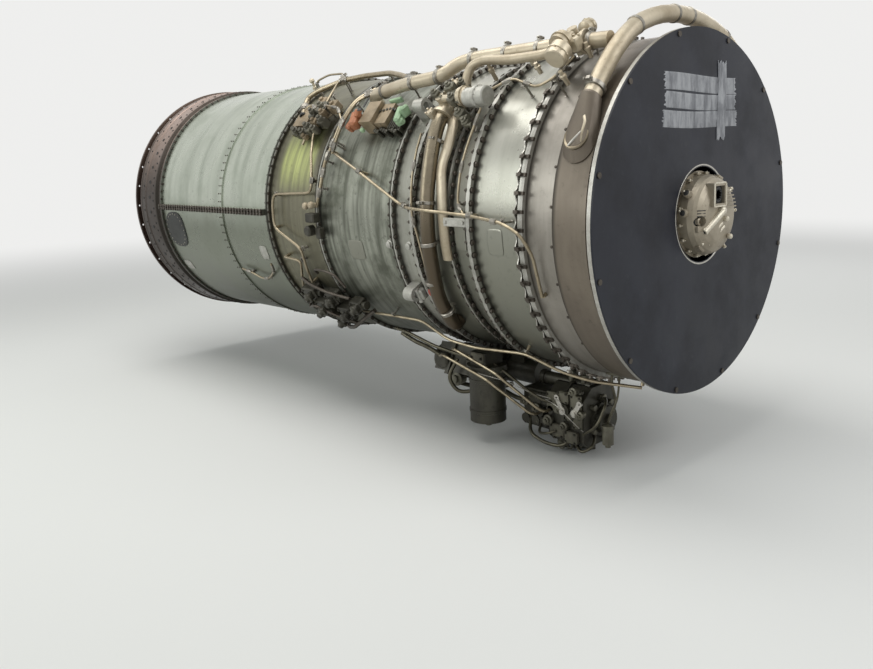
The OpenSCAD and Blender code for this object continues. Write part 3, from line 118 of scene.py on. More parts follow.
class Shape:
    """Faces gathered in millimetres, which become one object."""

    def __init__(self):
        self.verts, self.faces = [], []

    def put(self, verts, faces):
        """Points in metres, and faces that count from the first of them."""
        base = len(self.verts)
        self.verts += verts
        self.faces += [[base + i for i in f] for f in faces]

    def add(self, place, verts, faces):
        """Points in millimetres about a place, which is a matrix or (x, angle, radius) on the engine."""
        if isinstance(place, tuple):
            place = seated(*place)
        self.put([place @ (Vector(v) * MM) for v in verts], faces)

    def lathe(self, place, profile, sides=16, turn=0.0):
        """Solid of revolution about local Z from (radius, z) points, closed at both ends."""
        angles = [2 * pi * k / sides + turn for k in range(sides)]
        verts = [(r * cos(t), r * sin(t), z) for r, z in profile for t in angles]
        self.add(place, verts, loft(len(profile), sides))

    def hexagon(self, place, r, h, z=0.0):
        """Hexagon bolt head with a chamfered top."""
        self.lathe(place, [(r, z), (r, z + h * 0.8), (r * 0.86, z + h)], 6, random.random())

    def block(self, place, size, chamfer=1.5, centre=(0, 0, 0)):
        """Box with chamfered edges."""
        half = [s / 2 for s in size]
        c = min(chamfer, *(h * 0.6 for h in half))
        corners = list(product((-1, 1), repeat=3))
        index = {key: i for i, key in enumerate(product(corners, range(3)))}
        verts = [[m + s * (h - (0 if k == axis else c)) for k,
            (m, s, h) in enumerate(zip(centre, corner, half))] for corner, axis in index]

        def corner_at(axis, s, p, q):
            key = [p, q]
            key.insert(axis, s)
            return tuple(key)

        faces = []
        for axis, s in product(range(3), (-1, 1)):
            ring = [index[corner_at(axis, s, p, q), axis] for p, q in ((-1, -1), (1, -1), (1, 1), (-1, 1))]
            faces.append(ring if (s == 1) == (axis != 1) else ring[::-1])
        for axis, p, q in product(range(3), (-1, 1), (-1, 1)):
            b, d = [k for k in range(3) if k != axis]
            low, high = (corner_at(axis, s, p, q) for s in (-1, 1))
            quad = [index[low, b], index[high, b], index[high, d], index[low, d]]
            faces.append(quad if (p * q > 0) != (axis == 1) else quad[::-1])
        for corner in corners:
            tri = [index[corner, k] for k in range(3)]
            faces.append(tri if prod(corner) > 0 else tri[::-1])
        self.add(place, verts, faces)

    def tube(self, points, r, sides=12, flat=1.0):
        """Tube along points in metres; flat squeezes the section outward from the axis."""
        pts = [Vector(p) for p in points]
        turns = [2 * pi * k / sides for k in range(sides)]
        verts, side = [], None
        for i, p in enumerate(pts):
            t = (pts[min(i + 1, len(pts) - 1)] - pts[max(i - 1, 0)]).normalized()
            if flat != 1.0:
                out = Vector((0, p.y, p.z)).normalized()
                out = (out - t * out.dot(t)).normalized()
                u, w = t.cross(out), out * flat
            else:
                if side is None:
                    side = t.cross(Vector((0.31, 0.87, 0.39))).normalized()
                side = (side - t * side.dot(t)).normalized()
                u, w = side, t.cross(side)
            verts += [p + (u * cos(a) + w * sin(a)) * r * MM for a in turns]
        self.put(verts, loft(len(pts), sides))

    def pipe(self, points, r, sides=12, bend=25.0, steps=6, flat=1.0):
        """Tube along (x, angle, radius) places."""
        self.tube(route(points, bend, steps), r, sides, flat)

    def make(self, name, material, slot, sharp=32):
        """The object, which rides on the engine."""
        mesh = bpy.data.meshes.new(name)
        mesh.from_pydata([tuple(v) for v in self.verts], [], self.faces)
        mesh.validate()
        mesh.materials.append(material)
        mesh.shade_smooth()
        mesh.set_sharp_from_angle(angle=radians(sharp))
        piece = bpy.data.objects.new(name, mesh)
        bpy.context.scene.collection.objects.link(piece)
        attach(piece, "engine")
        return piece


def route(points, bend=25.0, steps=6):
    """Points in metres along a route of (x, angle, radius) places with rounded corners."""
    def span(p, q):
        return (place(*p) - place(*q)).length / MM

    def mix(p, q, t):
        return tuple(a + (b - a) * t for a, b in zip(p, q))

    way = [points[0]]
    for before, here, after in zip(points, points[1:], points[2:]):
        a = mix(here, before, min(0.45, bend / max(span(here, before), 1)))
        c = mix(here, after, min(0.45, bend / max(span(here, after), 1)))
        for k in range(steps + 1):
            t = k / steps
            way.append(tuple(p * (1 - t) ** 2 + q * 2 * t * (1 - t) + s * t * t for p, q, s in zip(a, here, c)))
    way.append(points[-1])
    full = [way[0]]
    for p, q in zip(way, way[1:]):
        n = max(1, ceil(abs(q[1] - p[1]) / 6))
        full += [mix(p, q, k / n) for k in range(1, n + 1)]
    return [place(*p) for p in full]


# Materials

class Nodes:
    """Nodes of a material or the world; a value is a number or another node's output."""

    def __init__(self, owner):
        owner.use_nodes = True
        self.tree = owner.node_tree
        self.tree.nodes.clear()

    def add(self, kind, inputs=None, **settings):
        made = self.tree.nodes.new("ShaderNode" + kind)
        for key, value in settings.items():
            setattr(made, key, value)
        for key, value in (inputs or {}).items():
            if isinstance(value, bpy.types.NodeSocket):
                self.tree.links.new(value, made.inputs[key])
            else:
                made.inputs[key].default_value = value
        return made

    def maths(self, operation, a, b=0.0):
        return self.add("Math", {0: a, 1: b}, operation=operation).outputs[0]

    def plus(self, a, b):
        return self.maths("ADD", a, b)

    def times(self, a, b):
        return self.maths("MULTIPLY", a, b)

    def ramp(self, value, low, high, to_low=0.0, to_high=1.0):
        """Smooth change from to_low to to_high while the value goes from low to high."""
        return self.add("MapRange", {0: value, 1: low, 2: high, 3: to_low, 4: to_high},
            interpolation_type="SMOOTHSTEP").outputs[0]

    def mixed(self, factor, a, b):
        """Colour between two, each a tuple or another node's output."""
        a, b = ((*c, 1.0) if isinstance(c, tuple) else c for c in (a, b))
        return self.add("Mix", {0: factor, 6: a, 7: b}, data_type="RGBA").outputs[2]

    def noise(self, vector, scale, detail, rough=0.5):
        return self.add("TexNoise", {"Vector": vector, "Scale": scale, "Detail": detail,
            "Roughness": rough}).outputs[0]


RIM = (0.5, 0.49, 0.45)   # colour of the bare flange rims


def surface(name, color, dark, metallic, rough, streak, blotch, grime, stretch, bump=0.15,
        dirt=(0.03, 0.026, 0.02), grain=220.0, edges=(), underside=0.0, painted_sheen=None, rim=0, lower=None,
        low=(0.12, 0.5), specular=0.5, on=""):
    """Worn metal or paint: streaks, blotches, grime, dirt beside the flanges and a fine grain.

    Flanges above the radius rim are bare, lower is painted shade that takes over downwards between
    the two heights in low, and the sheen patch is a painted reflection between two stations and two
    heights. The solids named in on wear it.
    """
    made = bpy.data.materials.new(name)
    t = Nodes(made)
    coords = t.add("TexCoord").outputs["Object"]
    x, y, z = t.add("SeparateXYZ", {0: coords}).outputs
    lines = t.noise(t.add("Mapping", {"Vector": coords, "Scale": stretch}).outputs[0], 1.0, 8.0, 0.62)
    clouds = t.noise(coords, 5.0, 9.0, 0.6)
    specks = t.noise(coords, 48.0, 6.0, 0.7)
    fine = t.noise(coords, grain, 3.0)
    shade = t.mixed(t.times(t.ramp(lines, 0.38, 0.68), streak), color, dark)
    shade = t.mixed(t.times(t.ramp(clouds, 0.45, 0.7), blotch), shade, dark)
    soil = t.times(t.ramp(specks, 0.56, 0.74), grime)
    # Painted shade: downwards between the heights in low the colour gives way to the darker lower colour
    if lower:
        level = t.plus(z, t.times(lines, 0.16))
        shade = t.mixed(t.ramp(level, *low, 1.0, 0.0), shade, lower)
    for edge in edges:
        away = t.maths("ABSOLUTE", t.maths("SUBTRACT", x, edge * MM))
        near = t.ramp(t.plus(away, t.times(clouds, 0.016)), 0.012, 0.028, 0.8, 0.0)
        soil = t.maths("MAXIMUM", soil, near)
    if rim:
        across = t.add("CombineXYZ", {1: y, 2: z}).outputs[0]
        reach = t.add("VectorMath", {0: across}, operation="LENGTH").outputs["Value"]
        raised = t.ramp(reach, (rim - 1.5) * MM, (rim + 0.5) * MM)
        shade = t.mixed(t.times(raised, t.ramp(specks, 0.35, 0.6, 0.95, 0.5)), shade, RIM)
        soil = t.times(soil, t.maths("SUBTRACT", 1.0, t.times(raised, 0.8)))
    # Darker towards the bottom: the dirt colour grows in below the given height
    if underside:
        level = t.plus(z, t.times(clouds, 0.5))
        soil = t.maths("MAXIMUM", soil, t.ramp(level, -0.3, 0.1, underside, 0.0))
    # Painted reflection: a yellow-green sheen patch mixed into the colour between two stations and two heights
    if painted_sheen:
        sheen_color, x0, x1, z0, z1 = painted_sheen
        sheen_area = t.times(t.ramp(x, x0, x0 + 0.06), t.ramp(x, x1 - 0.06, x1, 1.0, 0.0))
        sheen_area = t.times(sheen_area, t.ramp(z, z0, z0 + 0.15))
        sheen_area = t.times(sheen_area, t.ramp(z, z1 - 0.15, z1, 1.0, 0.0))
        shade = t.mixed(t.times(sheen_area, t.ramp(lines, 0.3, 0.6, 0.9, 0.35)), shade, sheen_color)
    shade = t.mixed(soil, shade, dirt)
    roughness = t.plus(t.ramp(clouds, 0.3, 0.7, rough - 0.08, rough + 0.1), t.times(soil, 0.25))
    height = t.plus(fine, t.times(specks, 1.5))
    relief = t.add("Bump", {"Strength": bump, "Distance": 0.0006, "Height": height})
    shader = t.add("BsdfPrincipled", {"Base Color": shade, "Roughness": roughness, "Metallic": metallic,
        "Specular IOR Level": specular, "Normal": relief.outputs[0]})
    t.add("OutputMaterial", {"Surface": shader.outputs[0]}, is_active_output=True)
    for solid in on.split():
        slots = nodes[solid].data.materials
        for index in range(len(slots)):
            slots[index] = made
    return made


# The lower colours given to the materials below are painted shade on their bottoms
PALE_CASE = surface("pale_case", (0.45, 0.445, 0.395), (0.3, 0.3, 0.255), 0.7, 0.34, 0.6, 0.4, 0.25,
    (26, 1.6, 1.6), edges=(X_EXIT, X_STEP, X_FAN, X_INLET), underside=0.5, rim=521, lower=(0.22, 0.22, 0.18),
    low=(-0.15, 0.42), on="fan_case_front fan_case_rear")
EXIT_CASE = surface("exit_case", (0.43, 0.42, 0.37), (0.26, 0.26, 0.215), 0.7, 0.34, 0.6, 0.45, 0.3,
    (26, 1.6, 1.6), edges=(X_EXIT, X_STEP), underside=0.5, rim=499.5, lower=(0.22, 0.22, 0.175),
    low=(-0.15, 0.42), on="fan_exit_case")
INLET_TAN = surface("inlet_tan", (0.185, 0.155, 0.12), (0.11, 0.09, 0.07), 0.5, 0.42, 0.5, 0.55, 0.35,
    (18, 2, 2), edges=(X_BAND,), underside=0.45, on="anti_ice_band")
INLET_GREY = surface("inlet_grey", (0.32, 0.295, 0.26), (0.18, 0.165, 0.14), 0.55, 0.38, 0.5, 0.45, 0.25,
    (20, 2, 2), edges=(X_INLET,), underside=0.45, rim=521, on="inlet_case")
BARREL = surface("barrel_olive", (0.3, 0.31, 0.26), (0.075, 0.08, 0.058), 0.65, 0.34, 0.85, 0.95, 0.6,
    (34, 2.2, 2.2), edges=(X_BARREL, X_MIDDLE), underside=0.6, rim=515, on="compressor_duct")
# The yellow-green patch on the combustion duct is a painted reflection
COMBUSTION = surface("combustion_olive", (0.185, 0.175, 0.12), (0.095, 0.09, 0.062), 0.65, 0.38, 0.6, 0.6, 0.4,
    (40, 2, 2), edges=(X_COMBUSTION, X_BARREL), underside=0.55, rim=527,
    painted_sheen=((0.6, 0.66, 0.24), 1.215, 1.47, 0.05, 0.36), on="combustion_duct")
REAR_DUCT = surface("rear_duct_pale", (0.46, 0.49, 0.42), (0.25, 0.28, 0.225), 0.65, 0.3, 0.65, 0.5, 0.3,
    (14, 1.4, 1.4), edges=(X_DUCT, X_COMBUSTION), underside=0.55, lower=(0.2, 0.215, 0.17), low=(-0.02, 0.13),
    on="rear_duct_upper rear_duct_lower")
RING_PINK = surface("ring_pink", (0.36, 0.265, 0.225), (0.2, 0.145, 0.115), 0.5, 0.42, 0.6, 0.6, 0.45,
    (40, 2, 2), edges=(X_DUCT - 30, X_RING), lower=(0.045, 0.034, 0.028), on="rear_mount_ring")
DARK_RING = surface("dark_ring", (0.22, 0.165, 0.135), (0.1, 0.075, 0.06), 0.75, 0.34, 0.6, 0.6, 0.4,
    (60, 3, 3), lower=(0.075, 0.052, 0.042), on="exhaust_flange")
CASTING = surface("grey_casting", (0.36, 0.355, 0.31), (0.2, 0.2, 0.165), 0.5, 0.45, 0.5, 0.5, 0.4, (25, 3, 3),
    0.3, edges=(X_MIDDLE, X_EXIT), underside=0.5, rim=506,
    on="low_compressor_case intermediate_case core_compressor_case")
NOSE = surface("nose_casting", (0.37, 0.325, 0.25), (0.17, 0.14, 0.1), 0.45, 0.42, 0.4, 0.65, 0.5, (12, 9, 9),
    0.35, dirt=(0.07, 0.045, 0.025), on="front_bearing_case nose_housing")
COVER = surface("cover_blue_black", (0.011, 0.013, 0.022), (0.006, 0.0065, 0.01), 0.0, 0.42, 0.5, 0.7, 0.12,
    (6, 5, 1.6), 0.1, dirt=(0.1, 0.105, 0.12), specular=0.3, on="inlet_cover")
DARK_STEEL = surface("dark_steel", (0.1, 0.085, 0.07), (0.035, 0.03, 0.024), 0.7, 0.42, 0.4, 0.6, 0.4,
    (60, 60, 60), 0.2, on="case_bolts")
BOLT_STEEL = surface("bolt_steel", (0.34, 0.32, 0.28), (0.1, 0.09, 0.075), 0.85, 0.35, 0.5, 0.7, 0.4,
    (80, 80, 80), 0.2)
BRIGHT_STEEL = surface("bright_steel", (0.52, 0.5, 0.46), (0.26, 0.25, 0.22), 0.9, 0.28, 0.4, 0.4, 0.2,
    (50, 50, 50), 0.1,
    on="main_bearings low_shaft tower_shaft power_lever shutoff_lever anti_ice_butterfly bleed_butterfly")
TITANIUM = surface("titanium", (0.42, 0.41, 0.39), (0.27, 0.26, 0.25), 0.95, 0.3, 0.4, 0.3, 0.1, (12, 60, 60),
    0.1,
    on="inlet_guide_vanes fan_stator_vanes low_stator_vanes core_stator_vanes fan_disks fan_blades_front "
    "fan_blades_rear low_compressor_drum low_compressor_blades core_rotor_drum core_compressor_blades")
HOT_STEEL = surface("heat_stained_steel", (0.33, 0.26, 0.2), (0.12, 0.1, 0.1), 0.9, 0.4, 0.6, 0.6, 0.3,
    (14, 10, 10), 0.2,
    on="diffuser_case combustion_cans turbine_case turbine_nozzle_vanes turbine_exhaust_case exhaust_struts "
    "tail_cone low_turbine_disks low_turbine_blades core_turbine_wheel core_turbine_blades")
DUCT_CREAM = surface("duct_cream", (0.56, 0.49, 0.37), (0.28, 0.22, 0.14), 0.45, 0.38, 0.35, 0.65, 0.4,
    (9, 14, 14), 0.2, dirt=(0.09, 0.06, 0.035), on="pneumatic_duct anti_ice_ducts anti_ice_valve bleed_valve")
DUCT_BROWN = surface("duct_brown", (0.31, 0.265, 0.19), (0.11, 0.088, 0.06), 0.75, 0.33, 0.5, 0.6, 0.35,
    (30, 8, 8), lower=(0.1, 0.078, 0.052), low=(-0.05, 0.3), on="bleed_duct")
TUBE_BRONZE = surface("tube_bronze", (0.4, 0.34, 0.24), (0.16, 0.13, 0.085), 0.9, 0.32, 0.4, 0.6, 0.3,
    (50, 20, 20), 0.1, on="fuel_manifold fluid_tubes")
OILY = surface("oily_casting", (0.062, 0.058, 0.042), (0.018, 0.016, 0.012), 0.35, 0.42, 0.5, 0.7, 0.6,
    (30, 30, 12), 0.5, dirt=(0.012, 0.011, 0.009),
    on="gearbox_housing oil_tank starter fuel_pump fuel_control oil_filter_can")
OILY_PALE = surface("oily_pale", (0.17, 0.16, 0.12), (0.045, 0.04, 0.03), 0.4, 0.45, 0.5, 0.7, 0.6,
    (30, 30, 12), 0.5, dirt=(0.02, 0.018, 0.014))
NOSE_BRIGHT = surface("nose_bright", (0.68, 0.63, 0.52), (0.4, 0.34, 0.25), 0.35, 0.3, 0.4, 0.5, 0.3,
    (25, 25, 25), 0.2, dirt=(0.09, 0.06, 0.03))
LINE_OLIVE = surface("oily_line", (0.11, 0.1, 0.07), (0.03, 0.028, 0.02), 0.7, 0.34, 0.5, 0.6, 0.4,
    (40, 40, 40), 0.2, dirt=(0.015, 0.013, 0.01))
BOX_TAN = surface("box_tan", (0.33, 0.255, 0.165), (0.11, 0.085, 0.05), 0.25, 0.5, 0.5, 0.6, 0.5, (20, 20, 20),
    0.4, on="ignition_boxes")
BOX_ORANGE = surface("box_orange", (0.42, 0.16, 0.075), (0.17, 0.07, 0.04), 0.1, 0.5, 0.5, 0.6, 0.5,
    (20, 20, 20), 0.3)
BOX_GREEN = surface("box_green", (0.36, 0.52, 0.32), (0.13, 0.22, 0.12), 0.05, 0.5, 0.5, 0.5, 0.4, (20, 20, 20),
    0.3)
RED_CAP = surface("red_cap", (0.42, 0.05, 0.03), (0.2, 0.025, 0.018), 0.0, 0.42, 0.4, 0.5, 0.3, (20, 20, 20),
    0.1)
# Black for the insides of holes, openings and slots: painted shade
OPENING_SHADE = surface("opening_painted_shade", (0.022, 0.022, 0.022), (0.01, 0.01, 0.01), 0.0, 0.55, 0.4, 0.5, 0.3,
    (30, 30, 30), 0.3, dirt=(0.06, 0.055, 0.045))
DOOR_BLACK = surface("door_black", (0.026, 0.028, 0.025), (0.012, 0.012, 0.011), 0.1, 0.5, 0.5, 0.7, 0.4,
    (14, 14, 14), 0.2, dirt=(0.09, 0.09, 0.08))
TAPE = surface("silver_tape", (0.34, 0.35, 0.37), (0.12, 0.125, 0.14), 0.55, 0.4, 0.85, 0.95, 0.45, (40, 45, 9),
    0.9, dirt=(0.1, 0.1, 0.11), grain=90.0)


# Bolts of the flanges

FLANGE_HALF = 7


def flange_bolts(name, x, r, count, size, first):
    """Hexagon heads ahead of a flange pair, nuts with stud ends behind it."""
    heads = Shape()
    for k in range(count):
        angle = first + 360 * k / count
        behind = seated(x - FLANGE_HALF, angle, r) @ BACK
        for spot, height in ((seated(x + FLANGE_HALF, angle, r) @ FORWARD, 0.85), (behind, 0.95)):
            heads.lathe(spot, [(size * 1.25, 0), (size * 1.25, 1.2)], 10)
            heads.hexagon(spot, size, size * height, 1.2)
        heads.lathe(behind, [(size * 0.45, 0), (size * 0.45, size * 1.9), (size * 0.3, size * 2.1)], 8)
    heads.make(name, DARK_STEEL, "dark_fasteners")


for name, x, lift, count, size, first in (("fan_case", X_FAN, 11, 86, 7.6, 0),
        ("fan_exit", X_STEP, 10, 86, 7.4, 2), ("middle_front", X_EXIT, 10, 88, 7.2, 1),
        ("middle_rear", X_MIDDLE, 10, 88, 7.2, 3), ("barrel", X_BARREL, 8, 92, 5.2, 0),
        ("combustion", X_COMBUSTION, 7, 92, 4.8, 0), ("rear_duct", X_DUCT, 5.5, 96, 4.4, 0)):
    flange_bolts("bolts_" + name, x, skin(x) + lift, count, size, first)

# Scalloped plate behind the clamp flange, with a peak at each clamp
scallops = Shape()
verts, faces = [], []
CLAMPS = 66
STEPS = CLAMPS * 10
for k in range(STEPS):
    t = 360 * k / STEPS
    top = 535.5 + 4.5 * cos(radians((t - 4) * CLAMPS))
    verts += [place(X_INLET + dx, t, r) for r, dx in ((521, -15.5), (top, -15.5), (top, -12.5), (521, -12.5))]
    a, b = 4 * k, 4 * ((k + 1) % STEPS)
    faces += [(a + j, b + j, b + (j + 1) % 4, a + (j + 1) % 4) for j in range(4)]
scallops.put(verts, faces)
scallops.make("scalloped_flange", BRIGHT_STEEL, "steel", sharp=30)


def skin_studs(x, count, size, height=0.0, skip=()):
    """Small round-headed fasteners that stand on the skin in a ring."""
    for k in range(count):
        angle = 360 * k / count
        if any(low < angle < high for low, high in skip):
            continue
        studs.lathe((x, angle, skin(x) + height), [(size, -1), (size, 1.2), (size * 0.7, 2.4)], 8)


studs = Shape()
skin_studs(X_BAND - 6, 30, 4.5)
skin_studs(X_DUCT + 16, 110, 2.6)
skin_studs(X_COMBUSTION - 16, 110, 2.6)
for dx in (-8, 8):
    skin_studs(STRAP_X + dx, 100, 2.6, 5.5, skip=((88, 92), (268, 272)))
skin_studs(X_DUCT - 18, 60, 3.0, 6)
studs.make("skin_studs", DARK_STEEL, "dark_fasteners")
# Holes in the rear mount ring: raised rims closed by dark discs that are painted shade for the inside of each
# hole
holes = Shape()
for x, r, count, size, first in ((140, 552.4, 48, 6.2, 3), (84, 556, 60, 3.2, 2), (176, 551.6, 96, 3.0, 1)):
    for k in range(count):
        holes.lathe((x, first + 360 * k / count, r), [(size + 1.6, -3), (size + 1.4, 1.2), (size + 0.4, 1.2),
            (size, 0.2)], 14)
holes.make("ring_hole_shade", OPENING_SHADE, "dark_fasteners")

# Double row of bolts along the rear duct's split lines
split = Shape()
for side in (-1, 1):
    for k in range(40):
        x = X_DUCT + 14 + 23.6 * k
        for up in (-1, 1):
            spot = at(x, side * 551, up * 6) @ turned(-90 * side, "X")
            split.lathe(spot, [(8.4, 0), (8.4, 1.2)], 10)
            split.hexagon(spot, 7.2, 6, 1.2)
split.make("split_line_bolts", DARK_STEEL, "dark_fasteners")


def skin_plate(shape, x, angle, half_x, half_arc, lift, thick, round_power=2.6):
    """Plate that follows the skin, with a rounded outline."""
    rings, spokes = 14, 48
    arc = degrees(half_arc / skin(x))
    verts, faces = [], []
    for level, j, k in product((0, 1), range(rings + 1), range(spokes)):
        t = 2 * pi * k / spokes
        c, s = cos(t), sin(t)
        f = (abs(c) ** round_power + abs(s) ** round_power) ** (-1 / round_power)
        px, pa = x + c * f * (j / rings) * half_x, angle + s * f * (j / rings) * arc
        drop = 1.2 if level and j == rings else 0
        verts.append(place(px, pa, skin(px) + lift + level * thick - drop))
    count = (rings + 1) * spokes
    for level, j, k in product((0, 1), range(rings), range(spokes)):
        base = level * count + j * spokes
        a, b = base + k, base + (k + 1) % spokes
        quad = (a, b, b + spokes, a + spokes)
        faces.append(quad[::-1] if level else quad)
    for k in range(spokes):
        a, b = rings * spokes + k, rings * spokes + (k + 1) % spokes
        faces.append((a, b, b + count, a + count))
    shape.put(verts, faces)


DOOR_X, DOOR_ANGLE, DOOR_HALF_X, DOOR_HALF_ARC = 344, 101.5, 88, 84
door = Shape()
skin_plate(door, DOOR_X, DOOR_ANGLE, DOOR_HALF_X, DOOR_HALF_ARC, 0.5, 3.5)
door.make("access_door", DOOR_BLACK, "dark_fasteners", sharp=25)
bolts = Shape()
for k in range(20):
    t = 2 * pi * k / 20
    x = DOOR_X + cos(t) * (DOOR_HALF_X - 9)
    angle = DOOR_ANGLE + degrees(sin(t) * (DOOR_HALF_ARC - 9) / skin(x))
    bolts.lathe((x, angle, skin(x) + 4), [(3.4, 0), (3.4, 1.4), (2.4, 2.4)], 10)
bolts.make("access_door_bolts", BOLT_STEEL, "dark_fasteners")
patches = Shape()
for patch in ((300, 122, 34, 26, 0.5, 2.2, 5), (1080, 109, 26, 30, 0.5, 2.2, 5),
        (1700, 104, 40, 36, 0.5, 2.2, 6), (2250, 93, 30, 60, 8, 2.5, 8), (2400, 96, 30, 40, 0.5, 2.0, 6),
        (2060, 99, 14, 24, 1, 3, 4)):
    skin_plate(patches, *patch)
patches.make("skin_patches", PALE_CASE, "grey_green_paint", sharp=25)


# Tubes, clips and fittings

def clip(x, angle, r, size=8.0):
    """Cushioned clamp on a post that holds a tube off the skin."""
    low = skin(x)
    spot = seated(x, angle, r)
    fittings.lathe((x, angle, low), [(6.5, 0), (6.5, 2), (3.6, 2.5), (3.6, r - low)], 10)
    fittings.block(spot, (size * 1.5, size * 2.4, size * 0.5), 1.5, (0, 0, -size * 0.6))
    fittings.hexagon(spot @ at(0, size * 0.7, -size * 0.4), 4.2, 5)


def coupling(points, index, r):
    """Hexagon union nut on a tube."""
    here = along(points[index], points[index + 1])
    fittings.lathe(here, [(r * 1.25, -12), (r * 1.7, -9), (r * 1.7, 9), (r * 1.25, 12)], 6)
    fittings.lathe(here, [(r * 1.35, -18), (r * 1.35, 18)], 12)


thin, fittings = Shape(), Shape()
THIN_TUBES = [
    # Riser from the junction up to the boxes, twin beside it, and the fall beside the flange
    ([(1640, 36, 546), (1630, 45.8, 570), (1616, 54.8, 566), (1591, 61.2, 548), (1574, 64.8, 540)], 6.5),
    ([(1655, 38, 546), (1648, 47, 575), (1634, 56, 570), (1606, 62.8, 550), (1586, 66.0, 536)], 5.0),
    ([(1574, 64.8, 540), (1560, 68.8, 538), (1558, 73.5, 536), (1553, 79.6, 535), (1534, 87.0, 535)], 6.0),
    # Lines over the top of the barrel's rear end
    ([(1318, 49.2, 561), (1276, 43, 561), (1262, 39.2, 566), (1317, 36.4, 575), (1375, 33.6, 575),
      (1420, 31, 575), (1535, 29.8, 575), (1689, 30.5, 575), (1774, 33.4, 575), (1850, 36.6, 575),
      (1904, 40, 572)], 10.0),
    ([(1165, 27, 545), (1188, 27.6, 574), (1260, 25.8, 587), (1378, 27, 587), (1400, 32.2, 578),
      (1440, 40.5, 576), (1447, 47, 570), (1440, 49, 548)], 4.0),
    ([(1440, 46, 548), (1462, 47, 578), (1548, 48.3, 570), (1603, 53.9, 560)], 4.0),
    ([(1300, 58, 545), (1290, 50, 560), (1330, 44, 566), (1390, 47, 562), (1400, 56, 548),
      (1380, 62, 540)], 5.0),
    # Line along the lower rear duct
    ([(852, 118.4, 540), (925, 119.8, 541), (983, 122.4, 542), (1049, 121.6, 542), (1124, 116.9, 543),
      (1128, 113.0, 541)], 4.5),
    # Lines round the front of the barrel and across the exit case
    ([(2304, 54, 566), (2292, 60, 552), (2262, 72, 530), (2262, 84, 528), (2310, 88, 545)], 4.0),
    ([(2085, 112, 530), (2075, 103, 520), (2062, 96, 516), (2048, 88, 524), (2040, 74, 526),
      (2046, 60, 540)], 4.0),
    # Lines by the valves at the top
    ([(2476, 33, 574), (2440, 27, 566), (2380, 25, 562), (2310, 24, 566), (2200, 26, 560),
      (2100, 30, 566)], 5.0),
    ([(2600, 41, 600), (2560, 47, 585), (2500, 49, 575), (2430, 46, 572), (2380, 44, 576),
      (2312, 48, 574)], 4.0),
    ([(2590, 26, 575), (2540, 23, 570), (2470, 20, 568), (2390, 22, 562)], 4.0),
]
for points, r in THIN_TUBES:
    way = route(points)
    thin.tube(way, r, 12)
    for index in (1, len(way) // 2, len(way) - 3):
        coupling(way, index, r)
    for x, angle, rr in points[1:-1:2]:
        clip(x, angle, rr - r * 0.5)
# Clips and unions on the solid tubes
for x, angle, r in [(1771, 73.4, 539), (2000, 85, 527), (2328, 87.5, 545), (2470, 89, 563), (1411, 54.8, 539),
        (1256, 82.4, 541), (1398, 104.4, 539), (1767, 133, 539), (2358, 141, 545), (2500, 147, 563),
        (1363, 109.8, 539)]:
    clip(x, angle, r - 3, 9)
for a, b in [((1573, 64.8, 527), (1600, 66, 535)), ((1771, 73.4, 539), (1800, 74.4, 539)),
        ((2040, 85.2, 548), (2070, 85.9, 561)), ((2328, 87.5, 545), (2360, 87.8, 550)),
        ((2440, 88.7, 560), (2473, 89, 563)), ((1491, 76.6, 533), (1485, 79, 530))]:
    fittings.lathe(along(place(*a), place(*b)), [(6.6, -12), (9, -9), (9, 9), (6.6, 12)], 6)
thin.make("thin_tubes", TUBE_BRONZE, "tubes", sharp=60)
fittings.make("tube_fittings", BOLT_STEEL, "dark_fasteners")

# Small valve with two ball tops at the left of the flange behind the barrel
valve = Shape()
valve.block((1517, 91, 544), (54, 34, 32), 4)
valve.lathe((1500, 96, 536), [(20, 0), (20, 24), (15, 30)], 20)
valve.block((1540, 97, 534), (30, 40, 24), 3)
valve.make("left_valve_body", OILY, "oily_casting")
tops = Shape()
for x, angle in ((1494, 86.6), (1530, 86.2)):
    tops.lathe((x, angle, 537), [(9, 0), (9, 12), (12.5, 15), (13.5, 20), (11, 27), (5, 31)], 20)
tops.lathe((1140, 26.4, 541), [(11, -2), (11, 8), (6, 12), (6, 26), (9, 28), (11.5, 34), (9, 41), (4, 44)], 20)
tops.make("ball_tops", DUCT_CREAM, "air_duct")

# Clamp bands round the air ducts, with lugs and bolts
bands = Shape()


def band(a, b, r, width=10.0, lift=4.0, lug=True):
    """Clamp band round a duct, with its bolt."""
    here = along(place(*a), place(*b))
    bands.lathe(here, [(r + 0.5, -width / 2 - 2), (r + lift, -width / 2), (r + lift, width / 2),
        (r + 0.5, width / 2 + 2)], 28)
    if lug:
        bands.block(here, (14, 12, width), 1, (0, r + lift + 4, 0))
        bands.lathe(here @ at(-12, r + lift + 5, 0) @ FORWARD, [(2.6, 0), (2.6, 24), (4.6, 24), (4.6, 29)], 8)


MAIN_R, ANTI_ICE_R, BLEED_R = 22, 25, 23.5
band((1745, 40.5, 558.6), (1765, 40.6, 561.9), MAIN_R)
for x, angle, r in ((1925, 41.3, 585), (2040, 40, 585), (2150, 33.6, 593), (2290, 33, 593), (2420, 33, 593),
        (2505, 33, 593), (2606, 33, 593)):
    band((x, angle, r), (x + 20, angle, r), MAIN_R)
for side in (-1, 1):
    band((2688, side * 49, 553), (2689, side * 46, 553), ANTI_ICE_R, 12, 5)
    band((2692, side * 24, 585), (2691, side * 21, 585), ANTI_ICE_R, 8, 2.5, False)
    band((2688, side * 4, 585), (2688, side * 1, 585), ANTI_ICE_R, 8, 2.5, False)
for angle, x, x_after in ((63, 2123, 2123), (84, 2123, 2123), (98, 2123, 2123), (112, 2100, 2099),
        (125, 2100, 2099)):
    band((x, angle, 527), (x_after, angle + 3, 527), BLEED_R, 9, 3.5)
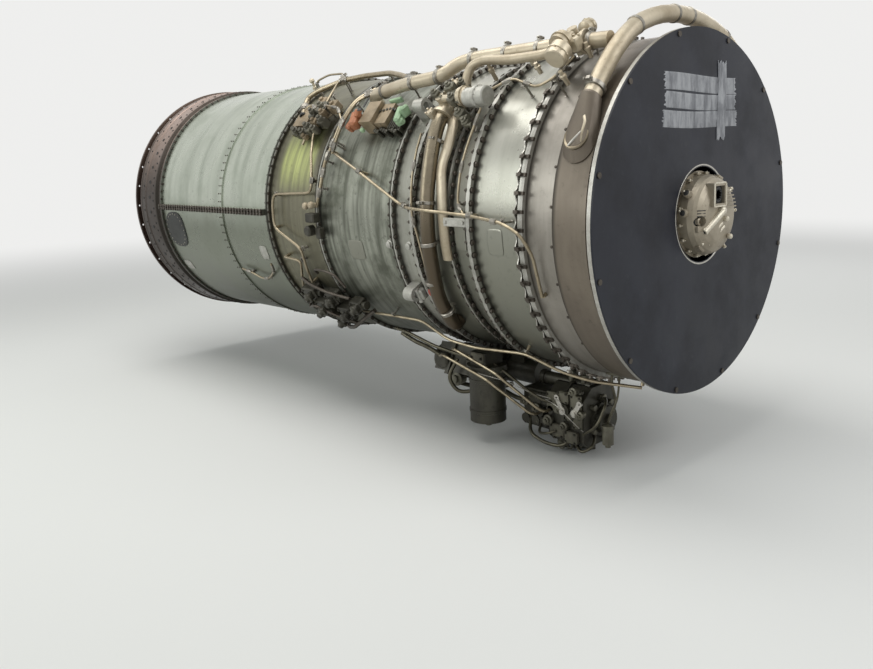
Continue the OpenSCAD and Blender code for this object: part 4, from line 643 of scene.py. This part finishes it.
bands.make("duct_bands", BOLT_STEEL, "dark_fasteners")

# Smooth ducts on the routes of the solid ones

def beside_valve(d):
    """A place on the line through the bleed valve's throat."""
    x, angle, r = 2118, 50, 543
    return x, angle + degrees(atan(d / r)), hypot(r, d)


smooth = Shape()
smooth.pipe([(1661, 40, 505), (1663, 40, 545), (1904, 41.5, 585), (2054, 40, 585), (2094, 35, 593),
    (2160, 33, 593), (2518.6, 33, 593)], MAIN_R, 32, bend=60, steps=12)
smooth.pipe([(2595.4, 33, 593), (2615, 33, 593), (2670, 33, 591)], MAIN_R, 32, bend=12)
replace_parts(smooth.make("pneumatic_duct_smooth", DUCT_CREAM, "air_duct", sharp=60), "pneumatic_duct")
smooth = Shape()
for side in (-1, 1):
    smooth.pipe([(2688, side * 51.9, 552), (2688, side * 48, 553), (2696, side * 34, 577),
        (2692, side * 24, 585), (2688, side * 0.05, 585)], ANTI_ICE_R, 32, bend=40, steps=12)
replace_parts(smooth.make("anti_ice_ducts_smooth", DUCT_CREAM, "air_duct", sharp=60), "anti_ice_ducts")
smooth = Shape()
smooth.pipe([beside_valve(40.4), beside_valve(66), (2122, 74, 529), (2126, 90, 527), (2118, 106, 527),
    (2092, 120, 527), (2084, 133, 527), (2084, 133.4, 499)], BLEED_R, 32, bend=40, steps=12)
smooth.pipe([beside_valve(-40.4), beside_valve(-74), (2118, 42.1, 494)], 24, 32, bend=24, steps=10)
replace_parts(smooth.make("bleed_duct_smooth", DUCT_BROWN, "bleed_duct", sharp=60), "bleed_duct")

# Pale branch duct beside the bleed duct, and the pale duct from the bleed valve to the top valve
pale = Shape()
pale.pipe([(2106, 49, 520), (2112, 50.5, 530), (2160, 55, 524), (2168, 64, 518), (2158, 72, 516),
    (2172, 80, 512), (2178, 90, 508), (2176, 104, 506)], 20, 18, bend=30, flat=0.55)
pale.pipe([(2176, 46, 520), (2174, 43, 572), (2180, 38, 598), (2240, 37, 604), (2347, 39, 604), (2480, 39, 604),
    (2520, 37, 600)], 15, 18, bend=30)
pale.make("branch_ducts", DUCT_CREAM, "air_duct", sharp=60)

# Valve hardware along the top: round cans, arms, bolts and brackets
hardware = Shape()


def can(spot, r, h):
    """Round can with a bolted joint."""
    lip = r + 3
    hardware.lathe(spot, [(r * 0.5, -8), (r, -2), (r, h * 0.45), (lip, h * 0.48), (lip, h * 0.56),
        (r, h * 0.59), (r, h - 3), (r - 3, h)], 32)
    for k in range(10):
        hardware.hexagon(spot @ turned(36 * k, "Z") @ at(lip - 1, 0, h * 0.56), 2.6, 3)


def corner_bolts(shape, spot, size, r, h):
    """Bolts at the four corners of a block's top."""
    for dy, dx in product((-0.35, 0.35), repeat=2):
        shape.hexagon(spot @ at(dx * size[0], dy * size[1], size[2] / 2), r, h)


can(seated(2573, 42.9, 628) @ LEFT @ at(0, 0, -20), 31, 44)
can(seated(2530, 24, 600) @ RIGHT @ at(0, 0, -10), 22, 34)
for x, angle, r, *size in ((2535, 38, 606, 30, 26, 44), (2590, 37, 612, 24, 34, 36),
        (2510, 36, 596, 40, 22, 30), (2560, 28, 590, 44, 24, 26), (2140, 44, 570, 30, 28, 34),
        (2100, 55, 570, 26, 22, 30), (2480, 34, 565, 60, 22, 10)):
    hardware.block((x, angle, r), size, 3)
    corner_bolts(hardware, seated(x, angle, r), size, 4.2, 4.5)
for x, angle, r, h in ((2500, 30, 566, 40), (2610, 36, 560, 46), (2470, 42, 566, 36), (2400, 36, 560, 34),
        (2250, 38, 535, 60), (2590, 47, 556, 48)):
    hardware.lathe((x, angle, r), [(7, 0), (7, h * 0.5), (10, h * 0.52), (10, h * 0.7), (6, h * 0.75), (6, h)],
        12)
hardware.pipe([(2710, 61, 562), (2724, 60.6, 590), (2736, 62.5, 592), (2732, 65, 588), (2714, 66.5, 562)], 4,
    bend=8, flat=0.5)
hardware.make("valve_hardware", DUCT_CREAM, "air_duct", sharp=35)

# Round can of the bleed valve, with dark fittings round it
steel = Shape()
CAN = seated(2244, 50.6, 579) @ FORWARD
steel.lathe(CAN, [(20, -6), (29, -3), (29, 34), (34, 37), (34, 47), (30, 50), (30, 78), (26, 81)], 36)
for k in range(12):
    steel.hexagon(CAN @ turned(30 * k, "Z") @ at(32, 0, 46), 2.6, 4)
steel.make("bleed_valve_can", CASTING, "air_duct", sharp=35)
fitted = Shape()
for x, angle, r, *size in ((2192, 51.5, 586, 30, 34, 34), (2150, 47, 584, 34, 30, 40),
        (2222, 55.2, 560, 36, 30, 30), (2168, 43.5, 566, 30, 22, 30), (2098, 49, 586, 30, 26, 30),
        (2246, 57.5, 548, 24, 26, 24)):
    fitted.block(seated(x, angle, r) @ Matrix.Rotation(sin(x) * 0.3, 4, "Z"), size, 4)
    fitted.lathe((x, angle, skin(x)), [(7, -1), (7, r - skin(x))], 12)
    fitted.lathe((x, angle, r + size[2] / 2 - 1), [(10, 0), (10, 6), (6, 8), (6, 13)], 14)
    reach = size[0] / 2 + 10
    fitted.lathe(seated(x, angle + 1, r) @ FORWARD, [(5, 0), (5, reach), (7, reach + 1), (7, reach + 7)], 12)
fitted.make("bleed_valve_fittings", OILY_PALE, "oily_casting")

# Dished end of the feed foot, with a bright ridge across it
DISH_X = 2682
dish = Shape()
dish.lathe((DISH_X, 64.2, skin(DISH_X) + 24), [(38, -6), (39, 1), (36, 3), (32, 0), (20, -1.5), (0.5, -2)], 36)
dish.make("foot_dish", DUCT_BROWN, "bleed_duct", sharp=40)
ridge = Shape()
ridge.pipe([(2660, 67.4, skin(DISH_X) + 21), (2672, 66.2, skin(DISH_X) + 26), (2700, 62.8, skin(DISH_X) + 26),
    (2712, 61.4, skin(DISH_X) + 18)], 4, bend=8)
ridge.make("foot_ridge", BRIGHT_STEEL, "air_duct", sharp=60)

# Cluster at the upper left of the barrel: frames, plugs and small lines round the boxes
dark, tan = Shape(), Shape()
for x, angle, r, *size in ((1398, 55.5, 548, 44, 46, 36), (1430, 47, 556, 44, 56, 40),
        (1405, 50, 556, 34, 40, 44), (1372, 57.5, 546, 50, 26, 26), (1470, 53, 548, 36, 30, 40),
        (1318, 56.5, 546, 34, 30, 26), (1345, 57.5, 548, 22, 30, 34), (1448, 56.5, 548, 26, 24, 22)):
    dark.block((x, angle, r), size, 4)
    dark.lathe((x + size[0] * 0.2, angle, r + size[2] / 2), [(12, -2), (12, 12), (8, 15), (8, 22)], 16)
for x, angle, r, *size in ((1400, 43, 560, 50, 34, 30), (1425, 53, 556, 30, 26, 30),
        (1495, 46, 556, 34, 44, 38), (1392, 59, 546, 20, 20, 24), (1458, 49.5, 560, 22, 26, 34)):
    tan.block((x, angle, r), size, 4)
    tan.hexagon((x, angle, r + size[2] / 2), 9, 8)
dark.make("upper_left_castings", OILY_PALE, "oily_casting")
tan.make("upper_left_blocks", BOX_TAN, "boxes")
plugs = Shape()
for k in range(9):
    x = 1784 + 15 * k
    angle = 57 + 0.6 * sin(k * 2.1)
    r = skin(x) + 10
    plugs.lathe((x, angle, r), [(6, -10), (6, 16), (8, 17), (8, 25), (5, 27)], 12)
    plugs.lathe((x + 4, 49.5 + 0.4 * cos(k), r + 30), [(3.5, -22), (3.5, 8), (5, 9), (5, 14)], 10)
for k in range(6):
    x = 1853 + 10 * k
    plugs.block((x, 53.2 + 0.3 * sin(k * 2.7), skin(x) + 19), (5, 66, 42), 1.5)
plugs.block((1878, 53.2, skin(1878) + 12), (54, 54, 26), 3)
plugs.make("box_plugs", OILY, "oily_casting")
orange, green = Shape(), Shape()
for shape, x, angle, r, turn, axis, size, chamfer in ((orange, 1690, 54.2, 560, 0.25, "Z", (34, 62, 40), 7),
        (orange, 1672, 56.4, 556, -0.3, "Z", (28, 32, 30), 5), (orange, 1703, 52.4, 574, 0.4, "X", (20, 30, 22),
        4), (green, 1918, 53.2, 554, 0.2, "Z", (26, 62, 34), 6),
        (green, 1934, 51.6, 556, -0.35, "X", (16, 36, 36), 5), (green, 1926, 55.4, 548, 0.5, "Z", (30, 18, 22),
        4), (green, 1733, 57.6, 546, 0, "Z", (16, 14, 16), 3), (green, 1840, 45.4, 550, 0.15, "Z", (56, 10, 20),
        2)):
    shape.block(seated(x, angle, r) @ Matrix.Rotation(turn, 4, axis), size, chamfer)
orange.make("orange_block", BOX_ORANGE, "boxes")
green.make("green_block", BOX_GREEN, "boxes")
# Dark slots on a box and the dark mouth of a line's end: painted shade in the openings
mouths = Shape()
mouths.block((1768, 50.6, 603.6), (9, 42, 2.4), 0.6)
mouths.block((1752, 53.2, 603.6), (22, 12, 2.4), 0.6)
mouths.lathe(along(place(1318, 49.2, 561), place(1330, 51, 561)), [(9, -2), (13, -2), (14, 6), (11, 9), (8, 3)],
    24)
mouths.make("box_mouth_shade", OPENING_SHADE, "dark_fasteners")

# Dark cluster under the duct at the left
belly = Shape()
for x, angle, r, *size in ((1360, 124, 548, 80, 60, 50), (1420, 129, 556, 70, 70, 60),
        (1490, 125, 548, 60, 50, 44), (1540, 131, 550, 70, 60, 60), (1610, 128, 540, 60, 40, 40),
        (1450, 137, 552, 90, 50, 44), (1340, 134, 546, 50, 60, 40)):
    belly.block((x, angle, r), size, 5)
    belly.lathe(seated(x, angle, r + size[2] / 2) @ at(size[0] * 0.15, 0, 0),
        [(17, -2), (17, 12), (21, 14), (21, 20), (14, 24), (10, 34)], 20)
    belly.lathe(seated(x, angle, r) @ at(size[0] / 2, 0, 4) @ FORWARD, [(12, -4), (12, 14), (15, 15), (15, 24)],
        16)
    corner_bolts(belly, seated(x, angle, r), size, 5, 5)
belly.make("belly_castings", OILY, "oily_casting")
tubes = Shape()
for points, r in (([(1330, 120, 535), (1350, 116, 560), (1420, 118, 575), (1500, 121, 570), (1600, 124, 556)],
        6), ([(1400, 140, 545), (1430, 143, 575), (1520, 139, 585), (1620, 134, 560), (1680, 131, 540)], 8),
        ([(1300, 128, 535), (1320, 130, 590), (1400, 126, 600), (1470, 131, 590), (1550, 137, 575)], 5),
        ([(1440, 115, 535), (1455, 112, 552), (1520, 112, 552), (1575, 114, 545), (1590, 120, 540)], 5)):
    tubes.pipe(points, r)
tubes.make("belly_tubes", DARK_STEEL, "tubes", sharp=60)

# Bosses on the two flanges, bracket over the fan joint, red cap and front mount fitting
bosses = Shape()
for x in (X_EXIT - 26, X_MIDDLE - 22):
    bosses.lathe((x, 100, skin(x)), [(17, 0), (15, 14), (11, 16), (11, 22), (7, 24)], 20)
bosses.block((2250, 90, 528), (96, 26, 8), 2)
for dx in (-38, 38):
    bosses.hexagon((2250 + dx, 90, 532), 6, 5)
bosses.block((1996, 119, 519), (40, 40, 26), 5)
bosses.lathe(seated(1996, 119, 530) @ LEFT, [(9, -26), (9, 26)], 16)
bosses.make("bosses", CASTING, "cast_case")
red = Shape()
red.lathe((2085, 116, 520), [(13, 0), (15, 3), (15, 20), (11, 24)], 20)
red.make("red_cap", RED_CAP, "boxes")


# Cover: torn strips of tape

def tape(name, y0, y1, z0, z1, lift, seed):
    """Strip of tape with torn ends and low wrinkles."""
    rng = random.Random(seed)
    ny, nz = 60, 16
    shape = Shape()
    verts, faces = [], []
    torn = [[rng.uniform(-7, 7) for _ in range(nz + 1)] for _ in range(2)]
    long_y = (y1 - y0) > (z1 - z0)
    for i, j in product(range(ny + 1), range(nz + 1)):
        u, w = i / ny, j / nz
        if long_y:
            y = y0 + torn[0][j] * (1 - u) + (y1 - y0 + torn[1][j] * u) * u
            z = z0 + (z1 - z0) * w + 3 * sin(u * 5 + seed)
        else:
            y = y0 + (y1 - y0) * w + 2.5 * sin(u * 6 + seed)
            z = z0 + torn[0][j] * (1 - u) + (z1 - z0 + torn[1][j] * u) * u
        bump = 0.5 * abs(sin(13 * u + 3 * w + seed)) + 0.4 * abs(sin(31 * u - 9 * w)) * (w + 0.3)
        edge = 0.0 if i in (0, ny) or j in (0, nz) else 1.0
        verts.append((X_FRONT + 6 + lift + (0.25 + bump + rng.uniform(0, 0.25)) * edge, y, z))
    for i, j in product(range(ny), range(nz)):
        a = i * (nz + 1) + j
        quad = (a, a + nz + 1, a + nz + 2, a + 1)
        faces.append(quad if long_y else quad[::-1])
    shape.add(Matrix(), verts, faces)
    shape.make(name, TAPE, "steel", sharp=60)


tape("tape_top", -208, 188, 356, 404, 0.1, 1)
tape("tape_middle", -206, 190, 307, 352, 0.1, 2)
tape("tape_low", -216, 196, 256, 303, 0.1, 3)
tape("tape_upright", 78, 128, 222, 446, 1.6, 4)

# Nose: bright oil tube and ribs, caps, side ports and the drive port; the dark fill in the ports, bores, slots
# and recess is painted shade
NOSE_TIP = X_FRONT + 72
nose, bright, dark = Shape(), Shape(), Shape()
for a, b, r in (((NOSE_TIP + 4, -6, 12), (NOSE_TIP - 12, -83, -44), 9.9),
        ((NOSE_TIP - 4, 4, -24), (NOSE_TIP - 26, -72, -81), 4.9),
        ((NOSE_TIP - 5, 18, -34), (NOSE_TIP - 19, -46, -83), 4.9)):
    a, b = Vector(a) * MM, Vector(b) * MM
    bright.tube([a + (b - a) * t / 8 for t in range(9)], r, 24)
    end = along(b, b + (b - a))
    bright.lathe(end, [(r * 0.62, -2), (r * 0.62, 0.4), (r, 0.4), (r * 1.12, -1), (r * 1.12, -5), (r, -6)], 24)
    # Dark disc in the tube's open end: painted shade in the bore
    dark.lathe(end, [(r * 0.6, -1), (r * 0.6, 0.3)], 20)
bright.lathe(at(NOSE_TIP + 3, -4, 14) @ FORWARD, [(12, -8), (13, -2), (12, 3.6), (9, 7.8), (5, 9.6), (1, 10.2)],
    24)
for y, z in ((22, -12), (44, -66)):
    bright.lathe(at(NOSE_TIP + 1, y, z) @ FORWARD, [(8, -4), (8.4, 2), (7, 5.5), (4.4, 7.6), (1, 8.4)], 20)
for angle, r in ((-87, 106), (-128, 104), (-150, 104), (-52, 106)):
    bright.lathe((NOSE_TIP - 23, angle, r), [(3.4, -6), (3.4, 8), (6, 9), (6, 13), (3, 14)], 12)
# Frame round the port, with its screws
for y, z, *size in ((-57, 61, 4, 6, 68), (10, 61, 4, 5, 66), (-23, 95, 4, 62, 5), (-23, 28, 4, 66, 5)):
    bright.block(at(NOSE_TIP + 5, y, z), size, 1.5)
PORT = at(NOSE_TIP, -23.5, 61.5)
# Dark block, lip ring and teeth of the drive port: painted shade inside it
dark.block(PORT @ at(-12, 0, 0), (14, 50, 50), 1)
dark.lathe(PORT @ at(-6, 0, 0) @ FORWARD, [(21, 0), (21, 5), (17, 5), (17, 1)], 28)
for k in range(12):
    dark.block(PORT @ at(-4, 0, 0) @ turned(30 * k, "X") @ at(0, 0, 15), (6, 3, 4), 0.6)
# Ports on the flank: a brown plug, a ringed opening whose dark cone is painted shade, a lip and thin dark slots
# of painted shade
for angle, x, r in ((58, X_FRONT + 19, 131), (84, X_FRONT + 19, 131), (101, X_FRONT + 28, 112)):
    spot = seated(x, angle, r)
    nose.lathe(spot, [(12, -12), (12, 2), (9, 3), (9, 1)], 24)
    dark.lathe(spot, [(8.6, -4), (8.6, 1.6), (5, 3.4)], 20)
    bright.lathe(spot @ at(-10, 6, -2), [(4, -6), (4, 4), (2.5, 6)], 12)
nose.block((X_FRONT + 34, -20, 115), (22, 26, 9), 2)
nose.block((X_FRONT + 34, 146, 113), (20, 34, 12), 3)
nose.block(at(NOSE_TIP - 22, -97, -34), (16, 22, 20), 4)
for z in (3, 11, 19):
    dark.tube([Vector((NOSE_TIP - 21, -106, z)) * MM, Vector((NOSE_TIP - 9, -82, z)) * MM], 1.5, 8)
# Dark disc in the recess: painted shade
dark.lathe(at(NOSE_TIP - 29, -96, -12) @ FORWARD, [(15, 0), (15, 1), (8, 2.5)], 28)
nose.lathe(at(NOSE_TIP - 28, -96, -12) @ FORWARD, [(11, 0), (11, 9), (8, 12), (8, 3)], 24)
for k in range(16):
    spot = seated(X_FRONT + 3, 11 + 22.5 * k, 124) @ FORWARD
    bright.hexagon(spot, 5.0, 5)
    bright.lathe(spot, [(2.2, 4), (2.2, 9), (1.4, 10)], 8)
nose.make("nose_fittings", NOSE, "nose_casting")
bright.make("nose_bright_fittings", NOSE_BRIGHT, "nose_casting")
dark.make("nose_port_shade", OPENING_SHADE, "dark_fasteners")
rim = Shape()
verts, faces = [], []
for k in range(96):
    t = 2 * pi * k / 96
    verts += [(X_FRONT + z, -r * sin(t), r * cos(t)) for r, z in ((142.4, 0.5), (144.5, 6.6), (147, 7.2),
        (149, 6.4))]
    a, b = k * 4, (k + 1) % 96 * 4
    faces += [(a + j, a + j + 1, b + j + 1, b + j) for j in range(3)]
rim.add(Matrix(), verts, faces)
rim.make("cover_hole_rim", BRIGHT_STEEL, "steel", sharp=60)

# Underside: fittings on the gearbox, filter and fuel control
under, pale, lines = Shape(), Shape(), Shape()


def left_bolts(shape, spots, size):
    """Bolts with washers, whose heads point to the left."""
    for x, y, z in spots:
        spot = at(x, y, z) @ LEFT
        shape.lathe(spot, [(size * 1.3, -1), (size * 1.3, 1.2)], 12)
        shape.hexagon(spot, size, size, 1.2)


# Fuel control: raised lands, covers, plugs and ring fittings
rng = random.Random(11)
for x, z, w, h, t in ((2352, -612, 46, 66, 10), (2400, -588, 42, 40, 14), (2446, -600, 44, 52, 4),
        (2372, -706, 60, 44, 12), (2432, -716, 50, 40, 16), (2455, -664, 34, 44, 10), (2420, -650, 30, 30, 8)):
    pale.block(at(x, -204 - t / 2, z), (w, t + 4, h), 4)
    left_bolts(under, [(x + dx * w, -206 - t, z + dz * h) for dx, dz in product((-0.36, 0.36), repeat=2)], 3.6)
for x, z, w, h, t in ((2236, -676, 44, 56, 12), (2292, -700, 50, 34, 16), (2258, -622, 56, 40, 10),
        (2306, -620, 34, 40, 14)):
    under.block(at(x, -180 - t / 2, z), (w, t + 4, h), 4)
    left_bolts(pale, [(x + dx * w, -182 - t, z) for dx in (-0.34, 0.34)], 4)
for x, z, r in ((2386, -630, 13), (2338, -676, 15), (2470, -634, 11), (2404, -684, 12), (2216, -640, 12),
        (2268, -656, 13), (2444, -560, 11)):
    y = -204 if x > 2330 else -180
    pale.lathe(at(x, y, z) @ LEFT, [(r, -6), (r, 9), (r + 3, 10), (r + 3, 17), (r - 3, 19), (r - 3, 27),
        (r * 0.45, 28), (r * 0.45, 34)], 18)
for k in range(16):
    x, z = rng.uniform(2336, 2470), rng.uniform(-735, -556)
    under.lathe(at(x, -204, z) @ LEFT, [(6, -4), (6, 4), (4, 6), (4, 10)], 10)
for k in range(8):
    x = 2342 + 17 * k
    pale.lathe(at(x, -72 - 34 * (k % 3), -545), [(9, -8), (9, 10), (12, 11), (12, 19), (6, 22)], 14)
    under.lathe(at(x, -60 - 30 * (k % 4), -743) @ DOWN, [(10, -6), (10, 8), (13, 9), (13, 16), (8, 20)], 14)
for k, (x, y) in enumerate(((2352, -170), (2368, -186), (2390, -170), (2410, -150), (2436, -132))):
    pale.lathe(at(x, y, -736) @ DOWN, [(8, -8), (8, 10), (11, 11), (11, 20)], 14)
    ring = [(at(x, y, -765) @ turned(-15 * step, "Y") @ at(10, 0, 0)).to_translation() for step in range(24)]
    pale.tube(ring + ring[:1], 4.2)
for y, z in ((-160, -700), (-160, -620), (-70, -700), (-70, -620), (-110, -728), (-110, -594)):
    pale.lathe(at(2474, y, z) @ FORWARD, [(8, -4), (8, 8), (10, 9), (10, 15), (6, 17)], 12)
for k in range(12):
    t = radians(30 * k)
    under.hexagon(at(2484.4, -110 + 50 * cos(t), -661 + 50 * sin(t)) @ FORWARD, 4, 4.5)
# Oil filter: head bolts, band, bail and drain
FILTER = at(2116, -273, 0)
for k in range(10):
    t = radians(36 * k)
    pale.hexagon(FILTER @ at(65 * cos(t), 65 * sin(t), -525) @ DOWN, 4.0, 5)
for z in (-560, -668):
    under.lathe(FILTER @ at(0, 0, z), [(62.2, -6), (64.2, -5), (64.2, 5), (62.2, 6)], 48)
pale.lathe(FILTER @ at(0, 0, -711) @ DOWN, [(20, -3), (20, 4), (11, 8), (11, 16), (7, 18)], 20)
pale.block(at(2116, -315, -480), (60, 18, 34), 4)
left_bolts(under, [(2094, -325, -480), (2138, -325, -480)], 4.6)
# Gearbox: pad bolts, rim bolts and bosses
for x, turn in ((1835, BACK), (2044, FORWARD)):
    for y in (-200, -78, 78, 200):
        for k in range(8):
            t = radians(45 * k + 20)
            spot = at(x, y + 43 * cos(t), -579 + abs(y) * 0.2 + 43 * sin(t))
            under.hexagon(spot @ turn, 4.6, 5, 4)
for k in range(24):
    for x, turn in ((1835, BACK), (2035, FORWARD)):
        under.hexagon(seated(x, 157 + 2 * k, 600) @ turn, 4.2, 5, 4)
under.block(at(2020, -250, -542), (44, 30, 60), 6)
under.block(at(1872, -250, -540), (60, 30, 56), 6)
pale.lathe(at(1940, -232, -600) @ LEFT, [(22, -10), (22, 12), (26, 14), (26, 22), (15, 25), (15, 34)], 20)
under.make("underside_castings", OILY, "oily_casting")


def line(shape, points, r):
    """Rigid line through plain (x, y, z) places in millimetres."""
    cyl = [(x, degrees(atan2(-y, z)) % 360, hypot(y, z)) for x, y, z in points]
    shape.pipe(cyl, r, bend=30.0)


for points, r in (
        ([(2236, -186, -690), (2262, -226, -735), (2330, -232, -752), (2396, -222, -754),
          (2420, -206, -730)], 6),
        ([(2150, -273, -505), (2226, -262, -545), (2280, -250, -580), (2336, -240, -604),
          (2352, -216, -612)], 5),
        ([(1960, -262, -520), (1936, -292, -585), (1965, -272, -642), (2046, -215, -628)], 7),
        ([(2476, -120, -606), (2522, -150, -578), (2548, -186, -590), (2536, -216, -655),
          (2474, -206, -700)], 5),
        ([(2050, -140, -640), (2110, -122, -668), (2170, -122, -668), (2204, -128, -655)], 8),
        ([(1850, -180, -640), (1880, -120, -668), (1980, -90, -668), (2046, -70, -640)], 8),
        ([(1700, -300, -455), (1760, -290, -480), (1820, -270, -500), (1880, -255, -530)], 8),
        ([(1700, -330, -430), (1780, -330, -440), (1900, -322, -470), (2030, -300, -492),
          (2090, -290, -486)], 6),
        ([(2440, -196, -745), (2470, -214, -760), (2500, -190, -740), (2478, -150, -716)], 5),
        ([(2290, -196, -706), (2300, -224, -728), (2350, -236, -716), (2372, -220, -706)], 4.5),
        # From the skin to the hanging can ahead of the fuel control
        ([(2566, -176, -484), (2566, -180, -520), (2568, -166, -556), (2566, -160, -596), (2558, -178, -630),
          (2552, -182, -654)], 4.5),
        ([(2590, -172, -486), (2592, -178, -524), (2590, -184, -566), (2574, -196, -610), (2560, -190, -640),
          (2556, -184, -654)], 3.5)):
    line(lines, points, r)
lines.make("underside_lines", LINE_OLIVE, "tubes", sharp=60)
pale.lathe(at(2553, -182, -720), [(9, -8), (9, 0), (18, 2), (18, 58), (20, 59), (20, 64), (10, 70)], 28)
pale.block((2580, 160, 519), (60, 26, 10), 2)
pale.make("underside_fittings", OILY_PALE, "oily_casting")
wires = Shape()
for points in ([(2345, -236, -600), (2400, -248, -606), (2452, -240, -648), (2474, -206, -690)],
        [(2050, -250, -540), (2120, -352, -520), (2230, -300, -545), (2300, -240, -590), (2350, -218, -600)]):
    line(wires, points, 1.4)
wires.make("lockwires", BRIGHT_STEEL, "steel", sharp=60)

# Floor, background, lights and camera
FLOOR_Z = cad_low.z - 0.004
floor_mesh = bpy.data.meshes.new("floor")
floor_mesh.from_pydata([(-60, -60, FLOOR_Z), (60, -60, FLOOR_Z), (60, 60, FLOOR_Z), (-60, 60, FLOOR_Z)], [],
    [(0, 1, 2, 3)])
floor = bpy.data.objects.new("floor", floor_mesh)
bpy.context.scene.collection.objects.link(floor)
BACKGROUND = (0.86, 0.86, 0.85)
floor_look = bpy.data.materials.new("floor_pale")
t = Nodes(floor_look)
matte = t.add("BsdfDiffuse", {"Color": (0.78, 0.78, 0.77, 1)})
glow = t.add("Emission", {"Color": (*BACKGROUND, 1), "Strength": 1.0})
where = t.add("TexCoord").outputs["Object"]
middle = t.add("VectorMath", {0: where, 1: (1.4, 0.0, FLOOR_Z)}, operation="DISTANCE")
far = t.ramp(middle.outputs["Value"], 2.2, 9.0)
both = t.add("MixShader", {0: far, 1: matte.outputs[0], 2: glow.outputs[0]})
t.add("OutputMaterial", {0: both.outputs[0]})
floor_mesh.materials.append(floor_look)

world = bpy.data.worlds.new("studio")
bpy.context.scene.world = world
t = Nodes(world)
fill = t.add("Background", {"Color": (0.8, 0.84, 0.82, 1), "Strength": 0.42})
seen = t.add("Background", {"Color": (*BACKGROUND, 1), "Strength": 1.0})
rays = t.add("LightPath").outputs
direct = t.plus(rays["Is Camera Ray"], rays["Is Transmission Ray"])
direct = t.maths("MINIMUM", t.plus(direct, rays["Is Glossy Ray"]), 1.0)
both = t.add("MixShader", {0: direct, 1: fill.outputs[0], 2: seen.outputs[0]})
t.add("OutputWorld", {0: both.outputs[0]})


def softbox(name, spot, target, size, energy, color=(1, 1, 1)):
    lamp = bpy.data.lights.new(name, "AREA")
    lamp.shape, lamp.size, lamp.size_y, lamp.energy, lamp.color = "RECTANGLE", size[0], size[1], energy, color
    holder = bpy.data.objects.new(name, lamp)
    bpy.context.scene.collection.objects.link(holder)
    holder.location = spot
    holder.rotation_mode = "QUATERNION"
    holder.rotation_quaternion = (Vector(target) - Vector(spot)).to_track_quat("-Z", "Y")


softbox("key_above", (1.2, -0.9, 3.6), (1.4, 0.0, 0.2), (4.5, 2.6), 120, (1.0, 0.99, 0.96))
softbox("side_left", (-0.2, -4.6, 1.6), (1.4, 0.0, 0.1), (3.0, 2.4), 60, (0.96, 1.0, 0.97))
softbox("side_front", (5.6, 0.8, 2.2), (2.6, 0.0, 0.1), (2.4, 2.4), 45, (0.98, 0.99, 1.0))
softbox("side_right", (1.0, 4.6, 2.2), (1.4, 0.0, 0.1), (3.0, 2.4), 45)

camera = bpy.data.cameras.new("photo_camera")
camera.sensor_width, camera.lens = 36.0, 33.298
camera.shift_x, camera.shift_y = -0.0326, -0.0583
camera.clip_start, camera.clip_end = 0.05, 200
holder = bpy.data.objects.new("photo_camera", camera)
bpy.context.scene.collection.objects.link(holder)
RIGHT_OF = Vector((0.6973246, 0.71601241, -0.03262877))
UP_OF = Vector((-0.0920169, 0.13457575, 0.98662164))
AHEAD = Vector((-0.71082437, 0.68499314, -0.15972822))
holder.matrix_world = Matrix.Translation((4.00389, -2.18411, 0.20412)) @ Matrix((RIGHT_OF, UP_OF,
    -AHEAD)).transposed().to_4x4()
bpy.context.scene.camera = holder
bpy.context.scene.view_settings.view_transform = "Standard"
